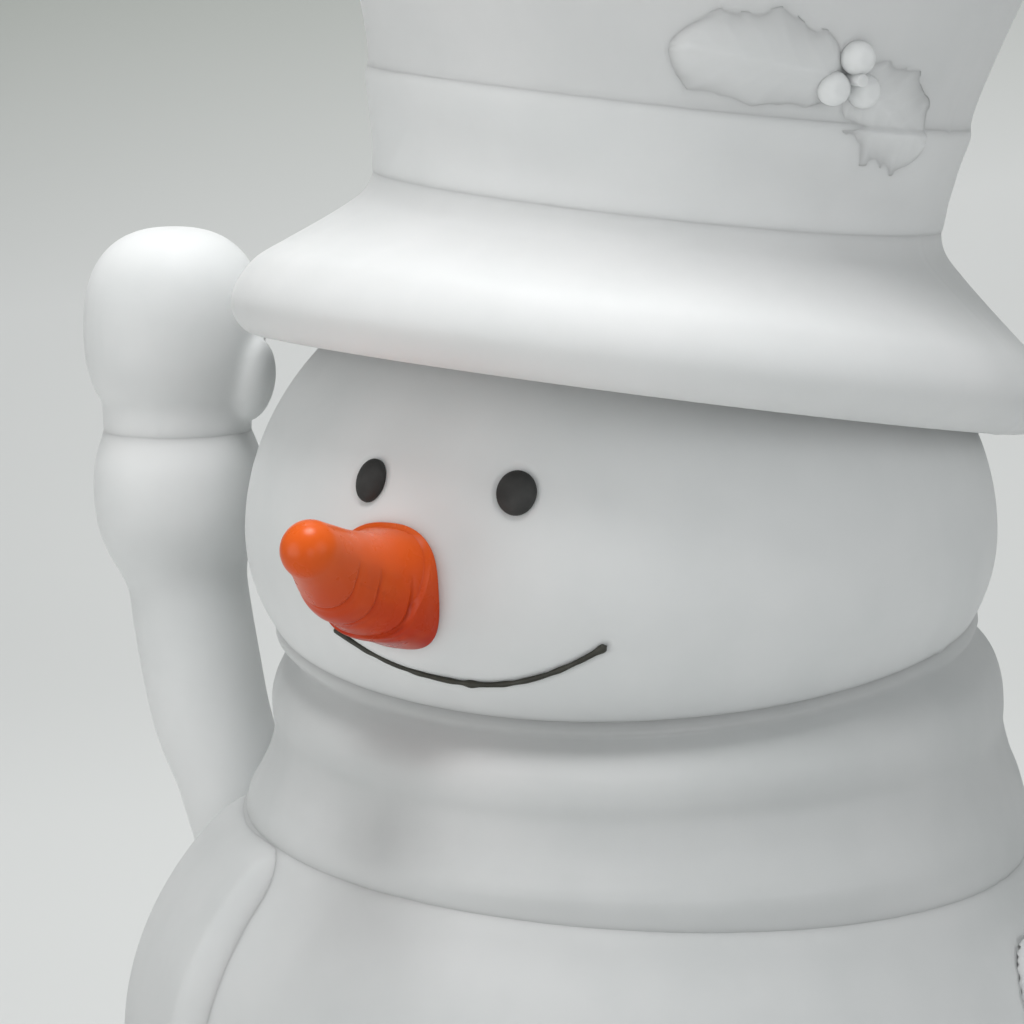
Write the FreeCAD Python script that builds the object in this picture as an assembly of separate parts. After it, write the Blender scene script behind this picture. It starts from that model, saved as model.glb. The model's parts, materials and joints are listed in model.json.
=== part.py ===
"""Light-up moulded yard snowman, 0.8 m tall: polyethylene shells, plug-in arms, lift-off hat and a twist-lock lamp.

Frame: millimetres, +Z up, origin on the floor at the centre of the base, face looking along -Y, its left hand at +X.
Azimuth is measured from the front (-Y) towards the snowman's left (+X). Each function returns one named sub-part.
"""
import FreeCAD
import Part

import math
import os

V = FreeCAD.Vector
X_AXIS, Y_AXIS, Z_AXIS = V(1, 0, 0), V(0, 1, 0), V(0, 0, 1)
O = V(0, 0, 0)

# ---- driving dimensions -------------------------------------------------------------------------------------------
WALL = 3.0                 # polyethylene wall
GAP = 0.3                  # gap between parts that only sit together
RUN = 0.08                 # radial clearance of a turning fit

HEAD_Z = 510.0             # height of the head's widest ring
HEAD_R = 165.0
HEAD_UP, HEAD_DOWN = 132.0, 107.0      # half heights above and below the widest ring

BODY_Z = 285.0             # height of the body's widest ring
BODY_R = 213.0
BODY_UP = 157.0
BASE_R = 163.0             # outer radius of the body's bottom edge
BASE_TOP = 6.0             # the shell stands on the base ring at this height

NECK_R = 94.0              # outer radius of the neck spigot
NECK_TOP = 446.0
SEAT_Z = 414.0             # the head's rim stands here

HAT_TILT = 6.0             # degrees, hat axis from vertical
HAT_LEAN_AZ = 117.3        # the hat leans towards this azimuth
BAND_TOP = 186.5           # hat heights are along the hat's axis, from the centre of the head
HAT_TOP = 283.0
CROWN_BAND_R, CROWN_TOP_R = 128.0, 154.0
BAND_THICK = 4.0
BRIM_SLANT, BRIM_HIGH_AZ = 0.097, 14.0     # the lip's ring rises towards this azimuth, by this slope
BRIM_FLAT_Z = 143.0        # rings from here up lie square to the hat's axis
HOLLY_AZ, HOLLY_Z = 58.0, 207.0      # where the berries sit

SCARF_R = 172.0
SCARF_SHIFT = 8.0          # the wrap sits off the body's axis, away from the raised arm
SCARF_SHIFT_AZ = 117.3
SCARF_DIP, SCARF_DIP_AZ = 0.12, 15.0       # the upper lip falls towards this azimuth, by this slope
SCARF_LEVEL_Z, SCARF_LIP_Z = 385.0, 455.0  # level rings below the first, full dip above the second
TAIL_AZ_FRONT, TAIL_AZ_BACK = -27.0, -70.0
TAIL_THICK = 8.5
TAIL_TOP, TAIL_BOTTOM = 384.0, 205.0

RAISED_AZ = -83.0          # vertical plane of the raised arm
SLEEVE_R = 27.0
PLUG_R = 26.0              # the straight end of a sleeve, which turns in the shoulder socket
HANG_Z = 325.0             # shoulder height of the hanging arm

EYE_AZ, EYE_DZ = 12.3, 38.0
NOSE_AZ, NOSE_DZ = -6.5, -4.0          # where the nose leaves the head
NOSE_LIFT = 24.0           # degrees the nose points up
NOSE_LENGTH = 66.0
NOSE_FOOT_R, NOSE_TIP_R = 27.0, 12.0
MOUTH_R = 1.7
MOUTH_ENDS = (-22.0, 25.6)
MOUTH_LOW_AZ, MOUTH_LOW_DZ = 4.5, -42.0
EYE_HALF = (8.5, 9.5)
BUTTON_HALF = (11.0, 11.5)
BUTTON_HEIGHTS = (285.0, 225.0, 165.0)

ANCHOR_R, ANCHOR_HOLE_R = 176.0, 4.5   # pegs or screws hold the base down through four lugs
LUGS = (45, 135, 225, 315)
PLATE_R = 128.0            # lamp plate, to the ends of its tabs
PLATE_LOW = BASE_TOP + 3 + GAP         # the plate's underside rests on the ledges
PLATE_TOP = PLATE_LOW + 4
TABS = (0, 120, 240)       # azimuths of the ledges and of the plate's tabs
HOLDER_TOP = 96.0
BUTTON_BORE_R = 8.0
CABLE_R = 2.6
CABLE_AZ, CABLE_IN_R = 160.0, 60.0     # where the lead leaves the plate
CABLE_SWING = (153, 212)   # the lead turns with the plate in this gap of the base ring


# ---- geometry helpers ---------------------------------------------------------------------------------------------
def polar(radius, azimuth, z):
    """A point at an azimuth from the front."""
    a = math.radians(azimuth)
    return V(radius * math.sin(a), -radius * math.cos(a), z)


def spline(points):
    curve = Part.BSplineCurve()
    curve.interpolate(points)
    return curve.toShape()


def outline(points, corners=()):
    """Edges through (r, z) points: one smooth curve between each pair of corners."""
    edges, start = [], 0
    for end in list(corners) + [len(points) - 1]:
        run = [V(r, 0, z) for r, z in points[start:end + 1]]
        edges.append(Part.makeLine(*run) if len(run) == 2 else spline(run))
        start = end
    return edges


def ramp(value, low, high):
    """Eased step from 0 at low to 1 at high."""
    t = min(max((value - low) / (high - low), 0.0), 1.0)
    return t * t * (3 - 2 * t)


def tilted_loft(rings):
    """A solid through circles (radius, height, slope, azimuth): each is tilted up towards its azimuth."""
    wires = []
    for radius, z, slope, azimuth in rings:
        wires.append(Part.Wire(Part.makeCircle(radius, V(0, 0, z), Z_AXIS - polar(slope, azimuth, 0))))
    return Part.makeLoft(wires, True, True)


def sampled(points, count):
    """(r, z) points spaced evenly along the smooth curve through the given ones."""
    curve = spline([V(r, 0, z) for r, z in points])
    return [(point.x, point.z) for point in curve.discretize(count)]


def inward(points, wall):
    """The outline moved by the wall towards the left of its direction of travel."""
    moved = []
    for i, (r, z) in enumerate(points):
        r0, z0 = points[max(i - 1, 0)]
        r1, z1 = points[min(i + 1, len(points) - 1)]
        length = math.hypot(r1 - r0, z1 - z0)
        moved.append((max(r - wall * (z1 - z0) / length, 0.0), z + wall * (r1 - r0) / length))
    return moved


def spun(edges, closing):
    """Revolves a closed (r, z) outline about Z."""
    wire = Part.Wire(Part.__sortEdges__(edges + closing))
    return Part.Face(wire).revolve(O, Z_AXIS, 360)


def revolve_shell(points, wall, corners=()):
    """A thin shell of revolution. The outline runs so that its left side is the hollow."""
    inner = inward(points, wall)
    if points[-1][0] < 1e-6:
        inner[-1] = (0.0, points[-1][1] - wall)
    ends = []
    for a, b in ((points[0], inner[0]), (points[-1], inner[-1])):
        ends.append(Part.makeLine(V(a[0], 0, a[1]), V(b[0], 0, b[1])))
    return spun(outline(points, corners) + outline(inner, corners), ends)


def joined(inner, outer):
    """Two straight edges that close a pair of (r, z) curves, drawn in opposite directions, into a loop."""
    pairs = ((inner[-1], outer[0]), (outer[-1], inner[0]))
    return [Part.makeLine(V(a[0], 0, a[1]), V(b[0], 0, b[1])) for a, b in pairs]


def revolve_polygon(points):
    """A ring or disc from straight (r, z) sides."""
    corners = [V(r, 0, z) for r, z in points]
    return Part.Face(Part.makePolygon(corners + corners[:1])).revolve(O, Z_AXIS, 360)


def ellipse_arc(radius, half_height, z, start, end, steps=12):
    """(r, z) points on a quarter of an ellipse, by angle above the horizontal."""
    found = []
    for i in range(steps + 1):
        t = math.radians(start + (end - start) * i / steps)
        found.append((radius * math.cos(t), z + half_height * math.sin(t)))
    return found


def ellipsoid(centre, half_x, half_y, half_z, rotation=FreeCAD.Rotation()):
    matrix = FreeCAD.Matrix()
    matrix.scale(half_x, half_y, half_z)
    solid = Part.makeSphere(1.0).transformGeometry(matrix)
    solid.Placement = FreeCAD.Placement(centre, rotation)
    return solid


def tube(start, end, radius):
    """A cylinder between two points."""
    return Part.makeCylinder(radius, (end - start).Length, start, end - start)


def eased(knots, steps):
    """Points on a smooth curve through knots of any dimension, with steps from each knot to the next."""
    found = []
    last = len(knots) - 1
    for i in range(last):
        around = zip(knots[max(i - 1, 0)], knots[i], knots[i + 1], knots[min(i + 2, last)])
        terms = [(2 * b, c - a, 2 * a - 5 * b + 4 * c - d, 3 * b - a - 3 * c + d) for a, b, c, d in around]
        for k in range(steps):
            t = k / steps
            found.append([(m + n * t + o * t ** 2 + q * t ** 3) / 2 for m, n, o, q in terms])
    return found + [list(knots[-1])]


def loft_along(knots, side, first_direction=None, steps=4):
    """A round solid through (x, y, z, radius) knots: each ring stands square to the path, seam towards side."""
    samples = eased(knots, steps)
    path = [V(*sample[:3]) for sample in samples]
    rings = []
    for i, (point, sample) in enumerate(zip(path, samples)):
        direction = path[min(i + 1, len(path) - 1)] - path[max(i - 1, 0)]
        if i == 0 and first_direction is not None:
            direction = first_direction
        direction.normalize()
        seam = side - direction * side.dot(direction)
        ring = Part.Wire(Part.makeCircle(sample[3]))
        turn = FreeCAD.Rotation(seam, direction.cross(seam), direction, "ZXY")
        ring.Placement = FreeCAD.Placement(point, turn)
        rings.append(ring)
    return Part.makeLoft(rings, True, True)


def head_point(azimuth, dz, lift=0.0):
    """A point on the head, raised off it by lift, and the outward normal there."""
    half = HEAD_UP if dz > 0 else HEAD_DOWN
    radius = HEAD_R * math.sqrt(1 - (dz / half) ** 2)
    flat = polar(1, azimuth, 0)
    normal = flat * (radius / HEAD_R ** 2) + Z_AXIS * (dz / half ** 2)
    normal.normalize()
    return polar(radius, azimuth, HEAD_Z + dz) + normal * lift, normal


def head_solid(grow=0.0):
    """The full head, as a tool for cutting what sits on it."""
    up = ellipse_arc(HEAD_R + grow, HEAD_UP + grow, HEAD_Z, 0, 90)
    down = ellipse_arc(HEAD_R + grow, HEAD_DOWN + grow, HEAD_Z, -90, 0)
    axis = Part.makeLine(V(0, 0, up[-1][1]), V(0, 0, down[0][1]))
    return spun(outline(down) + outline(up), [axis])


def body_outline():
    """The body from its bottom edge up to the foot of the neck."""
    lower = [(BASE_R, BASE_TOP), (172, 22), (190, 72), (205, 145), (212, 225)]
    upper = ellipse_arc(BODY_R, BODY_UP, BODY_Z, 0, 53, 8)
    return lower + upper + [(112, SEAT_Z - 3), (104, SEAT_Z - 1)]


def body_solid(grow=0.0):
    """The full body, as a tool for cutting what lies on it."""
    points = inward(body_outline(), -grow) if grow else body_outline()
    top, foot = points[-1], points[0]
    closing = [Part.makeLine(V(top[0], 0, top[1]), V(0, 0, top[1])),
               Part.makeLine(V(0, 0, top[1]), V(0, 0, foot[1])),
               Part.makeLine(V(0, 0, foot[1]), V(foot[0], 0, foot[1]))]
    return spun(outline(points), closing)


def on_hat(shape):
    """Moves a shape from the hat's own frame to its place on the head."""
    lean = math.radians(HAT_TILT)
    axis = polar(math.sin(lean), HAT_LEAN_AZ, math.cos(lean))
    placed = shape.copy()
    seat = FreeCAD.Placement(V(0, 0, HEAD_Z), FreeCAD.Rotation(Z_AXIS, axis))
    placed.Placement = seat.multiply(placed.Placement)
    return placed


def raised_point(radius, z):
    return polar(radius, RAISED_AZ, z)


# The raised arm's socket: its axis leans out from the body in the arm's plane.
RAISED_FOOT, RAISED_LEAN = (173.0, 317.0), 18.0
RAISED_AXIS = raised_point(math.sin(math.radians(RAISED_LEAN)), math.cos(math.radians(RAISED_LEAN)))


# ---- body and base ------------------------------------------------------------------------------------------------
def raised_socket(radius, below):
    foot = raised_point(*RAISED_FOOT)
    return tube(foot - RAISED_AXIS * below, foot + RAISED_AXIS * 90, radius)


def hanging_socket(radius, inner_x):
    return tube(V(inner_x, 0, HANG_Z), V(BODY_R + 30, 0, HANG_Z), radius)


def button_points():
    """Centres and outward normals of the belly buttons."""
    found = []
    for z in BUTTON_HEIGHTS:
        ring = body_solid().section(Part.makeLine(V(0, 0, z), V(0, -300, z)))
        y = min(vertex.Y for vertex in ring.Vertexes)
        slope = 0.0 if z >= BODY_Z - 60 else (BODY_Z - 60 - z) / 600.0
        normal = V(0, -1, -slope)
        normal.normalize()
        found.append((V(0, y, z), normal))
    return found


def body_shell():
    """The blow-moulded body, open below, with a neck spigot and two shoulder sockets."""
    shell = revolve_shell(body_outline(), WALL)
    top = SEAT_Z - 1
    neck = revolve_polygon([(105, top - WALL), (105, top), (NECK_R, top), (NECK_R, NECK_TOP),
                            (NECK_R - WALL, NECK_TOP), (NECK_R - WALL, top - WALL)])
    cup = WALL + GAP
    cups = raised_socket(PLUG_R + cup, WALL).fuse(hanging_socket(PLUG_R + cup, BODY_R - 45 - WALL))
    shell = shell.fuse([neck, cups.common(body_solid())])
    bores = raised_socket(PLUG_R + RUN, 0).fuse(hanging_socket(PLUG_R + RUN, BODY_R - 45))
    holes = [tube(p - n * 20, p + n * 20, 2.8) for p, n in button_points()]
    return shell.cut([bores] + holes)


def base_ring():
    """The moulded ring under the shell: floor flange, anchor lugs, lamp ledges and a gap for the lead."""
    flange_top, spigot_r = BASE_TOP - GAP, BASE_R - 5
    ring = revolve_polygon([(PLATE_R + 2, 0), (BASE_R + 3, 0), (BASE_R + 3, flange_top), (spigot_r, flange_top),
                            (spigot_r, 26), (spigot_r - 4, 26), (spigot_r - 4, BASE_TOP),
                            (PLATE_R + 2, BASE_TOP)])
    ledge = revolve_polygon([(PLATE_R - 6, BASE_TOP), (PLATE_R + 4, BASE_TOP),
                             (PLATE_R + 4, BASE_TOP + 3), (PLATE_R - 6, BASE_TOP + 3)])
    added = [tube(polar(ANCHOR_R, azimuth, 0), polar(ANCHOR_R, azimuth, flange_top), 12) for azimuth in LUGS]
    added += [ledge.common(sector(azimuth - 22, azimuth + 22)) for azimuth in TABS]
    removed = [tube(polar(ANCHOR_R, azimuth, -1), polar(ANCHOR_R, azimuth, 20), ANCHOR_HOLE_R)
               for azimuth in LUGS]
    gap = revolve_polygon([(PLATE_R - 8, -1), (BASE_R + 9, -1), (BASE_R + 9, 7), (PLATE_R - 8, 7)])
    removed.append(gap.common(sector(*CABLE_SWING)))
    return ring.fuse(added).cut(removed)


def sector(start, end, reach=250.0):
    """A wedge of space between two azimuths, through the base."""
    points = [O] + [polar(reach, start + (end - start) * i / 6, 0) for i in range(7)]
    return Part.Face(Part.makePolygon([p - Z_AXIS * 5 for p in points + points[:1]])).extrude(V(0, 0, 60))


def dome_button(point, normal, half_w, half_h, proud, tool):
    """An oval domed button with a stem, trimmed to the surface that it sits on."""
    radius = (half_h ** 2 + proud ** 2) / (2 * proud)
    ball = Part.makeSphere(radius, point - normal * (radius - proud))
    oval = Part.Face(Part.Wire(Part.Ellipse(O, half_h, half_w).toShape())).extrude(V(0, 0, 16))
    across = Z_AXIS.cross(normal)
    turn = FreeCAD.Rotation(normal.cross(across), across * -1, normal, "ZXY")
    oval.Placement = FreeCAD.Placement(point - normal * 6, turn)
    stem = tube(point - normal * (WALL + 7), point + normal * 0.5, 2.5)
    return ball.common(oval).cut(tool).fuse(stem)


def belly_buttons():
    tool = body_solid(GAP)
    return Part.makeCompound([dome_button(p, n, *BUTTON_HALF, 4.5, tool) for p, n in button_points()])


def push_nuts(sites):
    """Spring washers pushed on to the stems, inside the wall."""
    rings = []
    for point, normal in sites:
        inside = point - normal * (WALL + 2.4)
        bore = tube(inside - normal, inside + normal * 2, 2.5 + RUN)
        rings.append(tube(inside, inside + normal, 6.5).cut(bore))
    return Part.makeCompound(rings)


# ---- scarf --------------------------------------------------------------------------------------------------------
def scarf_filled(points):
    """A solid through the scarf's rings, in place on the shoulders."""
    rings = []
    for radius, z in points:
        rings.append((radius, z, -SCARF_DIP * ramp(z, SCARF_LEVEL_Z, SCARF_LIP_Z), SCARF_DIP_AZ))
    solid = tilted_loft(rings)
    solid.translate(polar(SCARF_SHIFT, SCARF_SHIFT_AZ, 0))
    return solid


def scarf_outline():
    """(r, z) from the bottom edge over the lower roll and the valley to the lip that closes on the head."""
    roll = [(160, 368.5), (168.5, 371), (SCARF_R, 378), (SCARF_R, 388), (169.5, 399), (165, 411)]
    lip = [(162, 423), (160.5, 434), (159, 444), (155, 454), (147, 461), (138, 463)]
    return sampled(roll + lip, 26)


def scarf_wrap():
    """The moulded scarf ring, hollow inside; its upper lip reaches in to the head all round."""
    points = scarf_outline()
    hollow = [(158, 355)] + inward(points, WALL)[1:]
    shell = scarf_filled(points).cut(scarf_filled(hollow))
    shell = shell.cut([body_solid(GAP), head_solid(GAP + 0.5), raised_socket(SLEEVE_R + 3, 0)])
    return max(shell.Solids, key=lambda s: s.Volume)


def scarf_tail():
    """The hanging end of the scarf: it comes out under the wrap and lies on the belly."""
    skin = body_solid(TAIL_THICK).cut(body_solid(GAP))
    middle = (TAIL_AZ_BACK + TAIL_AZ_FRONT) / 2
    corners = [O, polar(300, TAIL_AZ_BACK, 0), polar(330, middle, 0), polar(300, TAIL_AZ_FRONT, 0), O]
    floor = Part.makePolygon([point + Z_AXIS * TAIL_BOTTOM for point in corners])
    column = Part.Face(floor).extrude(Z_AXIS * (TAIL_TOP - TAIL_BOTTOM))
    wrap = scarf_filled([(radius + GAP, z) for radius, z in scarf_outline()])
    strap = skin.common(column).cut(wrap)
    return max(strap.Solids, key=lambda s: s.Volume)


# ---- head ---------------------------------------------------------------------------------------------------------
def mouth_edge():
    """The smile: a shallow arc on the head, steeper towards the left cheek."""
    start, end = MOUTH_ENDS
    points = []
    for i in range(9):
        azimuth = start + (end - start) * i / 8
        steepness = 0.046 if azimuth > MOUTH_LOW_AZ else 0.0275
        dz = MOUTH_LOW_DZ + steepness * (azimuth - MOUTH_LOW_AZ) ** 2
        points.append(head_point(azimuth, dz)[0])
    return spline(points)


def sweep(edge, radius):
    start = edge.valueAt(edge.FirstParameter)
    along = edge.tangentAt(edge.FirstParameter)
    ring = Part.Wire(Part.makeCircle(radius, start, along))
    return Part.Wire(edge).makePipeShell([ring], True, True)


def nose_frame():
    """Foot of the nose on the head, and the direction that it points."""
    foot, _ = head_point(NOSE_AZ, NOSE_DZ)
    lift = math.radians(NOSE_LIFT)
    return foot, V(0, -math.cos(lift), math.sin(lift))


def eye_sites():
    return [head_point(side * EYE_AZ, EYE_DZ) for side in (-1, 1)]


def head_shell():
    """The head, open below round the neck, with holes for the face's parts."""
    down = ellipse_arc(HEAD_R, HEAD_DOWN, HEAD_Z, -51, 0)
    up = ellipse_arc(HEAD_R, HEAD_UP, HEAD_Z, 0, 90)
    shell = revolve_shell(down + up[1:], WALL)
    rim_r, rim_z = down[0]
    bore = NECK_R + RUN
    skirt = revolve_polygon([(bore, SEAT_Z - 0.5), (bore + 5, SEAT_Z - 0.5), (rim_r - 1, rim_z + 1),
                             (rim_r - 1, rim_z + 4), (bore, rim_z + 6)])
    shell = shell.fuse(skirt)
    foot, axis = nose_frame()
    holes = [tube(foot - axis * 30, foot + axis * 15, 8.3), sweep(mouth_edge(), MOUTH_R + 0.15)]
    holes += [tube(p - n * 20, p + n * 20, 2.8) for p, n in eye_sites()]
    return shell.cut(holes)


def eye(side):
    point, normal = head_point(side * EYE_AZ, EYE_DZ)
    return dome_button(point, normal, *EYE_HALF, 3.4, head_solid(GAP))


def mouth_inlay():
    return sweep(mouth_edge(), MOUTH_R)


def carrot_nose():
    """The snap-in carrot nose: a bent, ringed cone with a hollow plug."""
    foot, axis = nose_frame()
    bend = V(-3, 0, 0)
    steps = 8
    knots = []
    for i in range(steps + 1):
        t = i / steps
        centre = foot + axis * (NOSE_LENGTH * t - 14 * (1 - t)) + bend * math.sin(math.pi * t)
        knots.append((*centre, NOSE_FOOT_R + (NOSE_TIP_R - NOSE_FOOT_R) * t ** 1.1))
    tip = Part.makeSphere(NOSE_TIP_R, V(*knots[-1][:3]))
    cone = loft_along(knots, X_AXIS).fuse(tip)
    plug = tube(foot - axis * 22, foot + axis * 6, 8.0)
    return cone.cut(head_solid(GAP)).fuse(plug).cut(tube(foot - axis * 23, foot + axis * 30, 5.0))


def nose_retainer():
    """The ring nut that holds the nose's plug inside the head."""
    foot, axis = nose_frame()
    start = foot - axis * 17
    return tube(start, start + axis * 4, 13).cut(tube(start - axis, start + axis * 6, 8.0 + RUN))


# ---- hat ----------------------------------------------------------------------------------------------------------
def hat_outline():
    """(r, z) from the lip's inner edge round the lip, up the brim and the crown to the rim of the flat top."""
    lip = [(160, 67), (165, 64), (171, 64.5), (177, 69), (180, 75.5), (179, 84), (173.5, 93)]
    brim = [(162, 104), (148, 116), (134, 127.5), (124.5, 136), (120.5, BRIM_FLAT_Z)]
    crown = [(120.5, 155), (124, 172), (CROWN_BAND_R, BAND_TOP), (136, 216), (147, 250), (CROWN_TOP_R - 2, 266)]
    return sampled(lip + brim + crown + [(CROWN_TOP_R - 3, 275), (143, HAT_TOP)], 44)


def hat_filled(points):
    """A solid through the hat's rings; the rings of the brim are slanted."""
    rings = []
    for radius, z in points:
        rings.append((radius, z, BRIM_SLANT * (1 - ramp(z, 95, BRIM_FLAT_Z)), BRIM_HIGH_AZ))
    return tilted_loft(rings)


def hat_shell():
    """Brim and crown in one moulding, open below."""
    points = hat_outline()
    hollow = [(157, 50), (157, 62)] + inward(points, WALL)[1:-1] + [(points[-1][0] - WALL, HAT_TOP - WALL)]
    return on_hat(hat_filled(points).cut(hat_filled(hollow)))


def hat_band():
    """The ribbon round the foot of the crown."""
    ring = [(120.4, 147), (121.0, 155), (124.5, 172), (CROWN_BAND_R + 0.1, BAND_TOP - 1.5)]
    inner = [(r + GAP, z) for r, z in ring]
    outer = [(r + BAND_THICK, z) for r, z in reversed(ring)]
    edges = outline(inner) + outline(outer)
    return on_hat(spun(edges, joined(inner, outer)))


def leaf_face(length, width, spikes=3):
    """A holly leaf's outline in the XZ plane, from its stalk at the origin along +X: hollows between sharp tips."""
    def side(sign):
        tips = [V(0, 0, 0)]
        for i in range(spikes):
            t = (i + 0.75) / (spikes + 0.4)
            tips.append(V(length * t, 0, sign * width / 2 * math.sin(math.pi * min(t * 0.9 + 0.08, 1))))
        return tips + [V(length, 0, 0)]

    edges = []
    for sign in (1, -1):
        tips = side(sign)
        for a, b in zip(tips, tips[1:]):
            middle = (a + b) * 0.5
            hollow = V(middle.x, 0, middle.z * (0.80 if a.x > 0 or b.x < length else 0.9))
            edges.append(Part.Arc(a, hollow, b).toShape())
    return Part.Face(Part.Wire(Part.__sortEdges__(edges)))


def crown_skin(near, far):
    """The space between two distances off the crown and its band, above the brim."""
    rings = []
    for off in (near, far):
        rings.append([(121 + off, 148), (125 + off, 165), (CROWN_BAND_R + off, BAND_TOP),
                      (136 + off, 216), (147 + off, 250)])
    inner, outer = rings[0], list(reversed(rings[1]))
    return spun(outline(inner) + outline(outer), joined(inner, outer))


def holly_leaf(turn, length, width):
    """A leaf that lies over the band and the crown, turned about the berries."""
    face = leaf_face(length, width)
    face.rotate(O, Y_AXIS, -turn)
    blade = face.extrude(V(0, -90, 0))
    blade.translate(V(0, -90, HOLLY_Z))
    blade.rotate(O, Z_AXIS, HOLLY_AZ)
    return on_hat(blade.common(crown_skin(BAND_THICK + 2 * GAP, BAND_THICK + 6)))


def holly_berries():
    """Three berries over the leaves' stalks."""
    berries = []
    for i in range(3):
        a = math.radians(90 + 120 * i)
        across, up = 8.5 * math.cos(a), 8.5 * math.sin(a)
        radius = 133.0 + BAND_THICK + 8 + up * 0.3
        azimuth = HOLLY_AZ + math.degrees(across / radius)
        berries.append(Part.makeSphere(7.0, polar(radius, azimuth, HOLLY_Z + up)))
    return on_hat(Part.makeCompound(berries))


def holly_pin():
    """The peg that clips the sprig through the crown."""
    return on_hat(tube(polar(118, HOLLY_AZ, HOLLY_Z), polar(144, HOLLY_AZ, HOLLY_Z), 2.5))


# ---- arms ---------------------------------------------------------------------------------------------------------
def sleeve(foot, axis, plug_length, knots, side):
    """A thin sleeve: a straight plug, closed at its foot, then rings along a path to the open cuff."""
    mouth = foot + axis * plug_length

    def filled(inset):
        plug = tube(foot + axis * inset, mouth, PLUG_R - inset)
        inner = [(x, y, z, radius - inset) for x, y, z, radius in [(*mouth, PLUG_R)] + knots]
        return plug.fuse(loft_along(inner, side, axis))

    return filled(0).cut(filled(WALL))


def right_sleeve():
    """The raised sleeve, with its plug in the shoulder socket and a puffed cuff."""
    rings = ((203, 406, 27.5), (208.5, 430, 28), (213, 454, 28), (215.5, 472, 28.5), (217.5, 483, 32),
             (218.5, 496, 37.5), (219, 516, 39.5), (219.3, 531, 38), (219.5, 540, 34))
    knots = [(*raised_point(r, z), size) for r, z, size in rings]
    foot = raised_point(*RAISED_FOOT) + RAISED_AXIS * GAP
    return sleeve(foot, RAISED_AXIS, 70, knots, polar(1, RAISED_AZ + 90, 0))


def mitten(palm, palm_half, thumb, thumb_half, turn, plug_from, plug_to, plug_r):
    """A hollow mitten with a thumb, and a plug that presses into the cuff."""
    outer = ellipsoid(palm, *palm_half, turn).fuse(ellipsoid(thumb, *thumb_half, turn))
    hollow = ellipsoid(palm, *[h - WALL for h in palm_half], turn)
    plug = tube(plug_from, plug_to, plug_r)
    return outer.fuse(plug).cut(hollow)


def right_mitten():
    turn = FreeCAD.Rotation(Z_AXIS, RAISED_AZ + 90)
    palm = raised_point(220.3, 588)
    wrist = raised_point(219.5, 540.3)
    thumb = raised_point(181, 567)
    return mitten(palm, (42, 41, 47), thumb, (11, 12, 20), turn, wrist - Z_AXIS * 16, wrist + Z_AXIS * 14, 30.5)


HANG_RINGS = ((234, -6, 27.5), (249, -26, 27.5), (255, -55, 27), (256, -85, 27.5), (256, -100, 30),
              (256, -114, 36), (256, -128, 37), (256, -142, 35), (256, -154, 30))


def left_sleeve():
    """The hanging sleeve: across the shoulder, down the side, and a cuff."""
    knots = [(x, 0, HANG_Z + drop, size) for x, drop, size in HANG_RINGS]
    foot = V(BODY_R - 45 + GAP, 0, HANG_Z)
    return sleeve(foot, X_AXIS, 47, knots, Y_AXIS)


def left_mitten():
    x, drop, _ = HANG_RINGS[-1]
    wrist = V(x, 0, HANG_Z + drop - GAP)
    palm = wrist - Z_AXIS * 38
    return mitten(palm, (34, 38, 44), palm + V(-6, -34, 10), (10, 11, 20), FreeCAD.Rotation(X_AXIS, 12),
                  wrist + Z_AXIS * 14, wrist - Z_AXIS * 12, 24)


# ---- lamp ---------------------------------------------------------------------------------------------------------
def lamp_plate():
    """The twist-lock plate that closes the body, with three tabs over the ring's ledges and two finger grips."""
    plate = tube(V(0, 0, PLATE_LOW), V(0, 0, PLATE_TOP), PLATE_R - 8)
    rim = revolve_polygon([(PLATE_R - 10, PLATE_LOW), (PLATE_R, PLATE_LOW),
                           (PLATE_R, PLATE_TOP), (PLATE_R - 10, PLATE_TOP)])
    added = [rim.common(sector(azimuth - 18, azimuth + 18)) for azimuth in TABS]
    added += [Part.makeBox(6, 50, 6.5, V(x - 3, -25, PLATE_LOW - 6)) for x in (-45, 45)]
    lead_hole = tube(polar(CABLE_IN_R, CABLE_AZ, 0), polar(CABLE_IN_R, CABLE_AZ, 40), 5.5)
    return plate.fuse(added).cut([tube(O, V(0, 0, 40), BUTTON_BORE_R), lead_hole])


def plate_seal():
    """The flat rubber washer on the plate's edge."""
    low = PLATE_TOP + 0.1
    inner, outer = PLATE_R - 20, PLATE_R - 9
    return revolve_polygon([(inner, low), (outer, low), (outer, low + 2), (inner, low + 2)])


def lamp_stand():
    """The bridge that carries the lamp holder over the switch."""
    legs = [tube(V(x, 0, PLATE_TOP + 0.1), V(x, 0, 46), 5) for x in (-30, 30)]
    deck = Part.makeCylinder(38, 5, V(0, 0, 46))
    bridge = deck.fuse(legs)
    return bridge.cut([tube(V(0, -24, 40), V(0, -24, 60), 4), tube(V(0, 0, 40), V(0, 0, 60), 8.4)])


def lamp_holder():
    """The lamp socket, held by its threaded foot."""
    low = 51.1
    body = revolve_polygon([(0, low), (17, low), (20, low + 8), (20, HOLDER_TOP), (14.2, HOLDER_TOP),
                            (14.2, low + 14), (0, low + 14)])
    return body.fuse(tube(V(0, 0, low - 14), V(0, 0, low + 1), 8.2))


def holder_nut():
    """The ring nut under the bridge."""
    hexagon = Part.makePolygon([polar(15, 60 * i, 39) for i in range(7)])
    return Part.Face(hexagon).extrude(V(0, 0, 6.8)).cut(tube(O, V(0, 0, 60), 8.2 + RUN))


def bulb_cap():
    """The metal screw cap."""
    return revolve_polygon([(0, 66), (6, 66), (9, 69), (13.4, 70.5), (13.4, 95), (12, 97), (0, 97)])


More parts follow.
